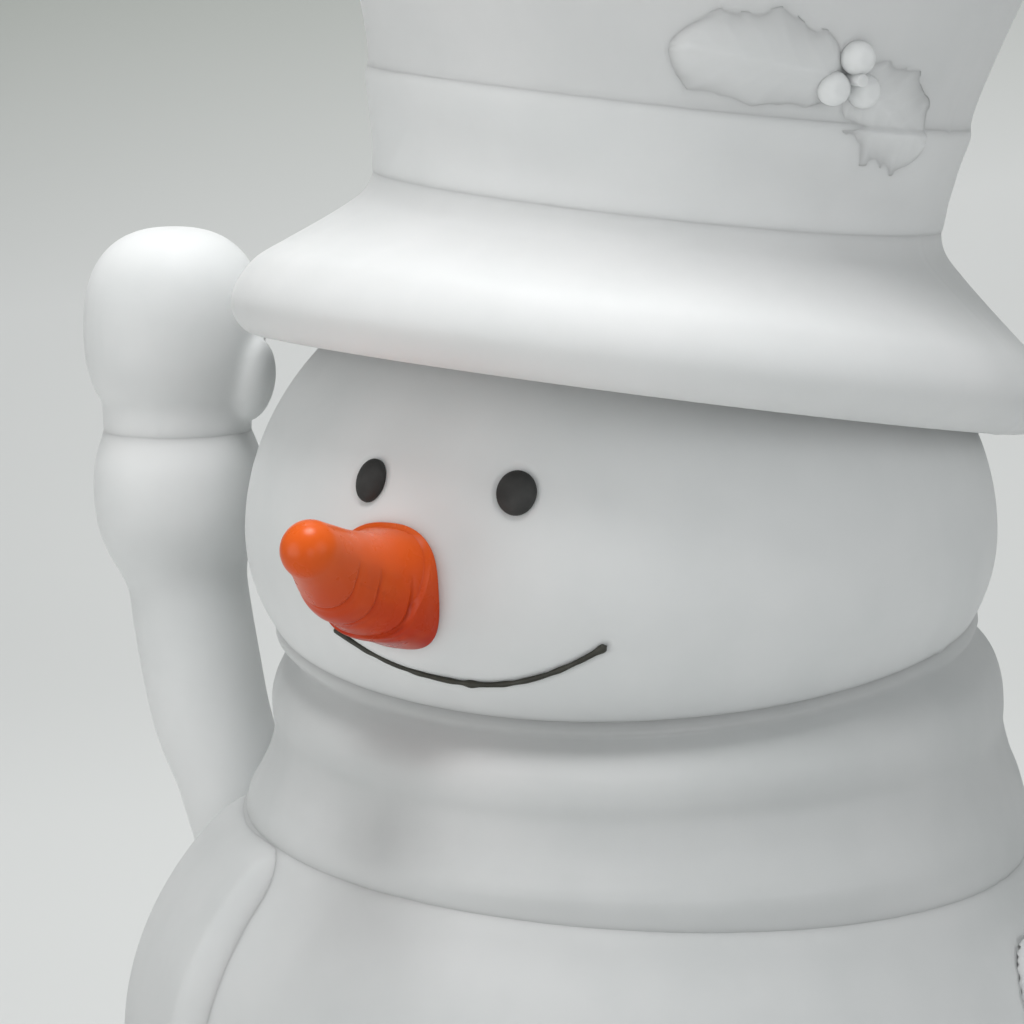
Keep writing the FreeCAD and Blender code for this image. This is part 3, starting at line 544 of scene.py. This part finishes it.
def tail_skin():
    """The scarf's hanging end: it swells out from under the wrap and lies on the belly."""
    across = np.linspace(-1, 1, 81)
    azimuth = (TAIL_FRONT + TAIL_BACK) / 2 + across * (TAIL_FRONT - TAIL_BACK) / 2
    crown = ramp(1 - np.abs(across), 0.0, 0.26) * (1 - 0.12 * across ** 2)
    rows = []
    for z in np.linspace(TAIL_TOP, TAIL_FOOT, 84):
        base = body_radius(z) - 0.8
        fold = 1.0 + 0.07 * np.cos(across * 6 + (z - 300) / 40)
        swell = (1 - ramp(z, 378, TAIL_TOP)) * ramp(z, TAIL_FOOT - 4, TAIL_FOOT + 6)
        outer = base + 0.3 + TAIL_THICK * crown * fold * swell
        top = [flat(a) * r + UP * z for a, r in zip(azimuth, outer)]
        under = [flat(a) * base + UP * z for a in azimuth]
        rows.append(top + under[::-1])
    return closed_strip("scarf_tail_skin", np.array(rows))


def closed_strip(name, loop):
    """A flat closed tube; each row of points is an upper edge and the returning lower edge."""
    rows, count = loop.shape[:2]
    faces = grid_faces(rows, count)
    for row in (0, rows - 1):
        for j in range(count // 2 - 1):
            a = row * count + j
            faces.append((a, a + 1, row * count + count - 2 - j, row * count + count - 1 - j))
    return make_mesh(name, loop.reshape(-1, 3), faces)


def tail_fringe():
    """Short round-ended tassels below the hanging end."""
    tassels = []
    inset = 2.0
    for i in range(TASSELS):
        azimuth = TAIL_BACK + inset + (TAIL_FRONT - TAIL_BACK - 2 * inset) * i / (TASSELS - 1)
        heights = np.linspace(TAIL_FOOT + 3, FRINGE_FOOT, 10)
        path = [flat(azimuth) * (body_radius(z) + 4.0) + UP * z for z in heights]
        tassels.append(tube_points(path, [4.2, 4.5, 4.6, 4.6, 4.6, 4.5, 4.4, 4.1, 3.2, 0.02], 20))
    return gathered("scarf_fringe", tassels)


# ---- head ----------------------------------------------------------------------------------------
def head_place(azimuth, dz, lift=0.0):
    """A point on the head and the outward normal there."""
    half = HEAD_UP if dz > 0 else HEAD_DOWN
    radius = HEAD_R * math.sqrt(1 - (dz / half) ** 2)
    normal = unit(flat(azimuth) * radius / HEAD_R ** 2 + UP * dz / half ** 2)
    return flat(azimuth) * radius + UP * (HEAD_Z + dz) + normal * lift, normal


def mouth_line(count=160):
    """Azimuth and height of the smile, relative to the head's centre."""
    azimuth = np.linspace(MOUTH_START, MOUTH_END, count)
    steep = np.where(azimuth > MOUTH_LOW_AZ, 0.046, 0.0275)
    return azimuth, MOUTH_LOW_DZ + steep * (azimuth - MOUTH_LOW_AZ) ** 2


def head_relief(azimuth, r, z):
    """Shallow moulded seats for the eyes and nose, a groove for the mouth, and the parting line."""
    a = np.where(azimuth > 180, azimuth - 360, azimuth)
    mm_per_degree = r * math.pi / 180
    dz = z - HEAD_Z
    push = np.zeros_like(r)
    for side in (-1, 1):
        x, y = (a - side * EYE_AZ) * mm_per_degree, dz - EYE_DZ
        distance = np.hypot(x / EYE_HALF[0], y / EYE_HALF[1])
        push -= EYE_SEAT * np.clip(1.25 - distance, 0, 0.25) / 0.25 * (r > 100)
    x, y = (a - NOSE_AZ) * mm_per_degree, dz - NOSE_DZ
    push += NOSE_SEAT * bell(np.hypot(x, y), 29, 7)
    line_az, line_dz = mouth_line()
    nearest = np.full(r.shape, 99.0)
    close = (np.abs(a) < 32) & (dz < -10) & (dz > -60)
    nearest[close] = np.min(np.hypot((a[close][:, None] - line_az) * mm_per_degree[close][:, None],
                                     dz[close][:, None] - line_dz), axis=1)
    push -= MOUTH_GROOVE * bell(nearest, 0, 1.9)
    return push + parting_line(azimuth, r) * (r > 40)


def head_skin():
    """The head, finely meshed over the face."""
    down = arc(HEAD_R, HEAD_DOWN, HEAD_Z, -51, -30, 7)
    face = arc(HEAD_R, HEAD_DOWN, HEAD_Z, -30, 0, 80)[1:]
    brow = arc(HEAD_R, HEAD_UP, HEAD_Z, 0, 26, 60)[1:]
    crown = arc(HEAD_R, HEAD_UP, HEAD_Z, 26, 90, 40)[1:]
    lip = [(98, 432), (98, 428)]
    profile = np.vstack([lip, down, face, brow, crown])
    azimuths = np.concatenate([np.arange(-34, 34, 0.3), np.arange(34, 326, 2.0)])
    return spun("head_skin", profile, relief=head_relief, azimuths=azimuths)


def eye_skin(name, side):
    """A flattened black dome with a rounded rim; the right one is a little narrower."""
    place, normal = head_place(side * EYE_AZ, EYE_DZ)
    wide = 1.0 if side > 0 else RIGHT_EYE_WIDTH
    w, h = EYE_HALF
    dome = [(0, 3.5), (w * 0.35, 3.3), (w * 0.62, 2.75), (w * 0.82, 1.95)]
    rim = [(w * 0.93, 1.2), (w * 0.985, 0.4), (w, -0.6), (w, -2.0)]
    return disc_on(name, smooth(dome + rim, 0.4), place, normal, wide, h / w)


def mouth_skin():
    """The smile: a thin uneven bead laid in its groove, with a blunt end that hooks back."""
    azimuth, dz = mouth_line(240)
    path = [head_place(a, z, -0.15)[0] for a, z in zip(azimuth, dz)]
    t = np.linspace(0, 1, len(path))
    radii = 1.12 + 0.10 * np.sin(t * 61) + 0.05 * np.sin(t * 97 + 1)
    radii += 0.5 * bell(t, 0.53, 0.02) + 0.7 * bell(t, 0.985, 0.014)
    radii[0] = radii[-1] = 0.02
    radii[1] = radii[-2] = 0.8
    points = tube_points(path, radii, 16)
    return make_mesh("mouth_line", points.reshape(-1, 3), grid_faces(len(path), 16))


def nose_skin():
    """The carrot nose: a squarish foot, a fuller underside, a ball tip and curved growth rings below."""
    foot = head_place(NOSE_AZ, NOSE_DZ)[0]
    lift = math.radians(NOSE_LIFT)
    ahead = np.array([0, -math.cos(lift), math.sin(lift)])
    down = np.array([0, -math.sin(lift), -math.cos(lift)])
    t = np.linspace(0, 1, 150)
    near = 1 - ramp(t, 0.2, 0.8)
    aside = 1.8 * near - 3.0 * np.sin(math.pi * t)
    centre = foot + np.outer(NOSE_LENGTH * t - NOSE_ROOT * (1 - t), ahead) - np.outer(2.4 * near, down)
    centre[:, 0] += aside
    taper = [(0, 23.4), (0.2, 23.4), (0.32, 20.8), (0.46, 17.0), (0.62, 14.9), (0.8, 13.5), (1.0, 11.7)]
    size = smooth(taper, 0.01)
    radius = np.interp(t, size[:, 0], size[:, 1])
    angles = np.linspace(0, 2 * math.pi, 128, endpoint=False)
    ring = np.cos(angles)[:, None] * down + np.sin(angles)[:, None] * np.array([1.0, 0, 0])
    chin = np.clip(np.cos(angles + 0.5), 0, 1)
    below = np.clip(0.15 + 1.6 * np.cos(angles), 0, 1)
    rows = []
    for i, along in enumerate(t):
        corner = 2 + 0.9 * (1 - ramp(along, 0.15, 0.5))
        square = (np.abs(np.cos(angles)) ** corner + np.abs(np.sin(angles)) ** corner) ** (-1 / corner)
        bent = along + 0.10 * np.cos(angles) + 0.03 * np.sin(angles)
        groove = sum(bell(bent, at, 0.014) + 0.5 * bell(bent, at - 0.03, 0.03) for at in NOSE_GROOVES)
        reach = radius[i] * square + 7.0 * bell(along, 0.54, 0.27) * chin - 1.5 * groove * below
        rows.append(centre[i] + ring * reach[:, None])
    for angle in np.radians(np.linspace(6, 90, 14)):
        tip = centre[-1] + ahead * NOSE_TIP_REACH * math.sin(angle)
        rows.append(tip + ring * (reach * max(math.cos(angle), 1e-4))[:, None])
    points = np.array(rows)
    return make_mesh("carrot_nose_skin", points.reshape(-1, 3), grid_faces(*points.shape[:2]))


# ---- hat -----------------------------------------------------------------------------------------
def hat_outer():
    """(r, z) from the lip's inner edge up the brim and over the band's step to the middle of the top."""
    lip = [(159, 67), (163.5, 64), (170.5, 64), (176.8, 68.5), (180, 76), (178.6, 85), (171.5, 96.5)]
    brim = [(159, 107), (146, 117.5), (134, 127.8), (127.4, 134.4), (124.4, 140.5)]
    crown = [(123.7, 148), (124.5, 157), (127.2, 171), (130.1, 183), (130.8, 187.5), (130.5, 191.5),
             (131.6, 199), (136.2, 216), (147, 250), (151.8, 264)]
    top = [(152, 272), (146, 280), (132, 283), (100, 284.2), (50, 284.8), (0, 285)]
    return lip + brim + crown + top


def hat_place(points):
    """Slants the brim's rings, then sets the hat on the head."""
    slanted = np.array(points)
    share = 1 - ramp(slanted[..., 2], BRIM_FULL_Z, BRIM_FLAT_Z)
    slanted[..., 2] += BRIM_SLANT * share * (slanted @ flat(BRIM_HIGH_AZ))
    return turned_to_hat(slanted)


def hat_skin():
    """Brim and crown, with the wall's inner side."""
    outer = smooth(hat_outer(), 2.2)
    along = np.gradient(outer, axis=0)
    along /= np.linalg.norm(along, axis=1)[:, None]
    inner = outer + WALL * np.stack([-along[:, 1], along[:, 0]], 1)
    inner[:, 0] = np.maximum(inner[:, 0], 0.0)

    def relief(azimuth, r, z):
        sway = 0.8 * np.sin(np.radians(azimuth) * 2 + 1) * bell(z, 80, 22)
        return parting_line(azimuth, r, 0.3, 1.5) * (r > 30) + sway

    azimuths = np.arange(384) * 360 / 384
    out_points = spun_points(outer, azimuths, relief)
    in_points = spun_points(inner[::-1], azimuths, None)
    points = hat_place(np.concatenate([out_points, in_points]))
    return make_mesh("hat_skin", points.reshape(-1, 3), grid_faces(*points.shape[:2], True, True))


def band_skin():
    """The ribbon: a soft-edged ring round the crown's foot."""
    outside = [(123.0, 142), (124.1, 145.5), (124.6, 150), (125.1, 157), (127.8, 171), (130.7, 183),
               (131.2, 186.5), (130.8, 189), (129.8, 190.6)]
    inside = [(127, 188), (123.6, 172), (120.8, 157), (120.0, 146)]
    profile = smooth(outside + inside + outside[:1], 1.4)[:-1]

    def relief(azimuth, r, z):
        return 0.35 * np.sin(np.radians(azimuth) * 5 + z / 9) * bell(z, 168, 14)

    return spun("hat_band_skin", profile, 384, relief, loop=True, place=hat_place)


def crown_radius(z):
    """Radius the sprig lies on: the band's outside, then the crown."""
    heights = [140, 157, 172, 186.5, 188.6, 216, 250, 266]
    return np.interp(z, heights, [124.2, 125, 128, 131.4, 129, 136, 147, 152])


def leaf_skin(name, turn, length, width):
    """A holly leaf in low relief: blunt spikes, a midrib and side veins, sinking into the crown."""
    across = np.linspace(-1, 1, 49)
    c, s = math.cos(math.radians(turn)), math.sin(math.radians(turn))
    spikes = 3.2
    rows = []
    for t in np.linspace(0, 1, 96):
        tooth = 0.84 + 0.16 * (0.5 - 0.5 * math.cos(2 * math.pi * t * spikes)) ** 1.5
        half = width / 2 * math.sin(math.pi * min(0.04 + 0.96 * t, 1.0)) ** 0.6 * tooth + 0.4
        u, v = t * length, across * half
        x, z = u * c - v * s, HOLLY_Z + u * s + v * c
        base = crown_radius(z) - 1.0
        ends = ramp(min(t, 1 - t), 0.0, 0.14)
        vein = bell(across, 0, 0.14) * 0.7 + 0.2 * np.cos((t * 7 - np.abs(across) * 1.6) * math.pi) ** 6
        dome = (0.9 + 2.8 * ramp(1 - np.abs(across), 0.0, 0.8) + vein) * ends
        azimuth = HOLLY_AZ + np.degrees(x / base)
        top = [flat(a) * r + UP * h for a, r, h in zip(azimuth, base + dome, z)]
        under = [flat(a) * r + UP * h for a, r, h in zip(azimuth, base - 0.5, z)]
        rows.append(top + under[::-1])
    return closed_strip(name, turned_to_hat(np.array(rows)))


def berries():
    """Three berries with a small dimple each."""
    grids = []
    for i in range(3):
        a = math.radians(90 + 120 * i)
        side, up = BERRY_SPREAD * math.cos(a), BERRY_SPREAD * math.sin(a)
        radius = BERRY_OUT + up * 0.3
        outward = flat(HOLLY_AZ + math.degrees(side / radius))
        grid = ball((0, 0, 0), [BERRY_R] * 3, rows=28, columns=36)
        reach = (grid @ outward)[..., None] / BERRY_R
        centre = outward * radius + UP * (HOLLY_Z + up)
        grids.append(turned_to_hat(grid * (1 - 0.10 * bell(reach, 1, 0.06)) + centre))
    return gathered("holly_berries_skin", grids)


# ---- arms ----------------------------------------------------------------------------------------
def sleeve_skin(name, knots, columns=96, wrinkle=0.0):
    """A sleeve from (x, y, z, radius) knots, closed at its plug and turned in at the cuff."""
    samples = smooth(knots, 2.0)

    def squeeze(t, angles):
        return 1 + wrinkle * np.sin(3 * angles + 9 * t) * bell(t, 0.4, 0.18)

    points = tube_points(samples[:, :3], samples[:, 3], columns, squeeze)
    return make_mesh(name, points.reshape(-1, 3), grid_faces(*points.shape[:2]))


def raised_sleeve():
    """Plug, forearm and puffed cuff, as (radius, height, size) rings in the arm's plane."""
    plug = ((4, 0.05), (4.5, 22)) + tuple((s, PLUG_SKIN_R) for s in (7, 20, 40, 60, 68))
    knots = [(*(RAISED_FOOT + RAISED_AXIS * s), size) for s, size in plug]
    forearm = ((203, 406, 27.3), (208.5, 430, 27.8), (213, 454, 27.8), (215.5, 471, 28))
    puff = ((216.8, 479, 30.3), (217.8, 487, 34.3), (218.6, 498, 38.2), (219, 512, 39.7), (219.2, 526, 39.0),
            (219.4, 534, 37.0), (219.5, 540, 34.9), (219.5, 545, 33.0), (219.5, 549, 30.5))
    turned_in = ((219.5, 541, 29.5), (219.5, 534, 29.5))
    knots += [(*(flat(RAISED_AZ) * r + UP * z), size) for r, z, size in forearm + puff + turned_in]
    return sleeve_skin("raised_sleeve_skin", knots, wrinkle=0.010)


def hanging_sleeve():
    """Plug, bent shoulder, forearm and puffed cuff, as (x, drop below the shoulder, size) rings."""
    plug = ((171.0, 0, 0.05), (171.5, 0, 22)) + tuple((x, 0, PLUG_SKIN_R) for x in (174, 190, 205, 215))
    shoulder = ((234, -6, 27.3), (248, -26, 27.5), (254.5, -52, 27), (HANG_X, -80, 27.3), (HANG_X, -96, 28.5))
    puff = ((-104, 32), (-113, 35.8), (-128, 37), (-142, 35.5), (-150, 32), (-153, 28))
    turned_in = ((-149, 25.5), (-142, 24.5))
    rings = plug + shoulder + tuple((HANG_X, drop, size) for drop, size in puff + turned_in)
    knots = [(x, 0, HANG_FOOT[2] + drop, size) for x, drop, size in rings]
    return sleeve_skin("hanging_sleeve_skin", knots, wrinkle=0.012)


def raised_mitten():
    """Mitten and thumb in the arm's plane, the thumb on the head's side."""
    def at(radius, z):
        return flat(RAISED_AZ) * radius + UP * z

    lumps = [ball(at(220.3, 588.5), (42.4, 41.4, 47.6), RAISED_AZ, fullness=2.5),
             ball(at(219.5, 551), (34.6, 34.6, 30), RAISED_AZ, fullness=3.4),
             ball(at(181, 567), (11.2, 12.2, 20.2), RAISED_AZ, -10)]
    return blended("raised_mitten_skin", lumps)


def hanging_mitten():
    """Mitten and thumb; the thumb points forwards."""
    wrist = np.array([HANG_X, 0, HANG_FOOT[2] - 154])
    palm = wrist - UP * 38
    lumps = [ball(palm, (33, 37, 44), 0), ball(wrist - UP * 2, (24, 24, 20), 0),
             ball(palm + np.array([-6, -32, 8]), (10, 11, 20), 0, 12)]
    return blended("hanging_mitten_skin", lumps)


# ---- assembly ------------------------------------------------------------------------------------
def dress(piece, material, body, slot, *nodes):
    """Gives a skin its material and body, and hides the CAD nodes that it stands for."""
    piece.data.materials.clear()
    piece.data.materials.append(material)
    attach(piece, body)
    if nodes:
        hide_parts(*nodes)
    return piece


def build_skins():
    """All the skins; returns the head's white for the CAD pieces of the same plastic."""
    # Painted light and shade: one white plastic in three tones, painted lighter on the hat and darker on the
    # scarf, tail and body than on the head and arms.
    hat = white_plastic("white hat plastic painted lighter", (0.80, 0.81, 0.81), (0.75, 0.765, 0.765))
    white = white_plastic("white head plastic", (0.74, 0.75, 0.75), (0.69, 0.705, 0.705))
    wrap = white_plastic("white body plastic painted darker", (0.60, 0.61, 0.61), (0.555, 0.57, 0.57))
    black = dark_plastic("black paint", (0.016, 0.016, 0.015), 0.60, 0.75, 0.05, 500.0)
    line = dark_plastic("mouth paint", (0.020, 0.020, 0.013), 0.45, 0.65, 0.25, 900.0)
    dress(body_skin(), wrap, "body", "white_shell", "body_shell")
    dress(scarf_skin(), wrap, "body", "white_shell", "scarf_wrap")
    dress(tail_skin(), wrap, "body", "white_shell", "scarf_tail")
    dress(tail_fringe(), wrap, "body", "white_shell")
    for button in button_skins():
        dress(button, black, "body", "black_face", "belly_buttons")
    dress(head_skin(), white, "head", "white_shell", "head_shell")
    dress(eye_skin("right_eye_skin", -1), black, "head", "black_face", "right_eye")
    dress(eye_skin("left_eye_skin", 1), black, "head", "black_face", "left_eye")
    dress(mouth_skin(), line, "head", "mouth_black", "mouth_inlay")
    dress(nose_skin(), orange_plastic(), "head", "orange_nose", "carrot_nose")
    dress(hat_skin(), hat, "hat", "white_shell", "hat_shell")
    dress(band_skin(), hat, "hat", "white_shell", "hat_band")
    dress(leaf_skin("holly_leaf_front_skin", 175, 80, 44), hat, "hat", "white_sprig", "holly_leaf_front")
    dress(leaf_skin("holly_leaf_rear_skin", -28, 60, 46), hat, "hat", "white_sprig", "holly_leaf_rear")
    dress(berries(), hat, "hat", "white_sprig", "holly_berries")
    dress(raised_sleeve(), white, "right_arm", "white_shell", "right_sleeve")
    dress(raised_mitten(), white, "right_arm", "white_shell", "right_mitten")
    dress(hanging_sleeve(), white, "left_arm", "white_shell", "left_sleeve")
    dress(hanging_mitten(), white, "left_arm", "white_shell", "left_mitten")
    return white


def paint_cad_nodes(white):
    """Finishes for the CAD pieces that stay as they are."""
    finishes = {
        "white_base": white_plastic("white base plastic", (0.72, 0.73, 0.73), (0.66, 0.67, 0.67)),
        "white_sprig": white,
        "white_shell": white,
        "black_face": dark_plastic("black cap", (0.015, 0.015, 0.015), 0.30, 0.45),
        "black_lamp": dark_plastic("black lamp plastic", (0.02, 0.02, 0.02), 0.40, 0.60, 0.15, 900.0),
        "black_rubber": dark_plastic("black rubber", (0.016, 0.016, 0.016), 0.60, 0.80, 0.10, 1200.0),
        "mouth_black": dark_plastic("mouth rubber", (0.02, 0.02, 0.013), 0.45, 0.65),
        "orange_nose": white,
        "spring_steel": metal("zinc plate", (0.62, 0.62, 0.63), 0.25, 0.42),
        "cap_metal": metal("nickel plate", (0.72, 0.68, 0.58), 0.20, 0.38),
        "frosted_glass": frosted_glass(),
    }
    slots = {row["node"]: row["material_slot"] for row in frame["record"]["subparts"]}
    for name, node in frame["nodes"].items():
        node.data.materials.clear()
        node.data.materials.append(finishes[slots[name]])


# ---- stage ---------------------------------------------------------------------------------------
def backdrop_material():
    """Pale grey, with painted shade darkening it towards the top and a little towards the left."""
    n = Nodes("pale backdrop")
    low, high = (0.62, 0.63, 0.625), (0.38, 0.40, 0.375)
    slant = {0: n.place, 1: Vector(UP - flat(CAMERA_AZ + 90) * 0.12)}
    lean = n.add("ShaderNodeVectorMath", slant, operation="DOT_PRODUCT").outputs["Value"]
    height = n.add("ShaderNodeSeparateXYZ", {"Vector": n.place}).outputs["Z"]
    wall = {0: n.span(lean, 0.42, 0.86, 0.0, 1.0), 1: n.span(height, 0.05, 0.35, 0.0, 1.0)}
    shade = n.add("ShaderNodeMath", wall, operation="MULTIPLY").outputs["Value"]
    mottle = n.span(n.noise(1.2, 3.0), 0.3, 0.7, 0.0, 0.12)
    base = n.tint(mottle, n.tint(shade, low, high), (0.55, 0.56, 0.555))
    return n.finish(Base_Color=base, Roughness=0.8, Normal=n.bump(n.noise(40.0, 3.0), 0.3, 0.2))


def build_floor():
    """A pale floor that curves up into a backdrop."""
    sweep = [(-6.0, 0.0), (1.4, 0.0), (2.4, 0.12), (3.2, 0.6), (3.6, 1.6), (3.7, 6.0)]
    back = flat(CAMERA_AZ + 180)
    side = flat(CAMERA_AZ + 90)
    line = smooth(np.array(sweep), 0.12)
    points = [(back * d + side * x + UP * h) / MM for d, h in line for x in (-9.0, 9.0)]
    floor = make_mesh("floor", points, grid_faces(len(line), 2, False))
    floor.data.materials.append(backdrop_material())


def area_light(name, place, target, size, power, colour=(1, 1, 1)):
    data = bpy.data.lights.new(name, "AREA")
    data.shape = "DISK"
    data.size = size
    data.energy = power
    data.color = colour
    light = bpy.data.objects.new(name, data)
    bpy.context.scene.collection.objects.link(light)
    light.location = place
    light.rotation_euler = (Vector(target) - Vector(place)).to_track_quat("-Z", "Y").to_euler()


def build_lights():
    """Soft lights placed in metres from the head, in the camera's own directions."""
    head = Vector((0, 0, HEAD_Z * MM))
    front = Vector(flat(CAMERA_AZ))
    right = Vector(flat(CAMERA_AZ + 90))

    def at(aside, ahead, up):
        return head + right * aside + front * ahead + Vector((0, 0, up))

    area_light("key", at(-2.0, 1.2, 0), head, 2.0, 19.5, (1.0, 0.995, 0.98))
    area_light("overhead", at(-0.15, 0.35, 1.9), head, 0.9, 27.0)
    area_light("fill", at(1.7, 1.7, 0.6), head, 2.0, 11.5, (0.97, 0.99, 1.0))
    area_light("front", at(0.2, 2.4, 0), head, 1.0, 5.0)
    area_light("backdrop", at(0, -1.0, 1.9), at(0, -3.6, -0.2), 1.6, 44.0)
    world = bpy.data.worlds.new("soft room")
    world.use_nodes = True
    world.node_tree.nodes["Background"].inputs["Color"].default_value = (0.93, 0.95, 0.95, 1)
    world.node_tree.nodes["Background"].inputs["Strength"].default_value = 0.35
    bpy.context.scene.world = world
    bpy.context.scene.view_settings.view_transform = "Standard"


def build_camera():
    """Looks at the head a little from the snowman's left and from above."""
    a, e = math.radians(CAMERA_AZ), math.radians(CAMERA_EL)
    back = Vector((math.sin(a) * math.cos(e), -math.cos(a) * math.cos(e), math.sin(e)))
    right = Vector((math.cos(a), math.sin(a), 0))
    head = Vector((0, 0, HEAD_Z))
    target = (head - right * AIM_LEFT + back.cross(right) * AIM_UP) * MM
    place = (head + back * CAMERA_DISTANCE) * MM
    data = bpy.data.cameras.new("camera")
    data.lens = CAMERA_LENS
    data.sensor_width = 36.0
    camera = bpy.data.objects.new("camera", data)
    bpy.context.scene.collection.objects.link(camera)
    camera.location = place
    camera.rotation_euler = (target - place).to_track_quat("-Z", "Y").to_euler()
    bpy.context.scene.camera = camera


paint_cad_nodes(build_skins())
build_floor()
build_lights()
build_camera()
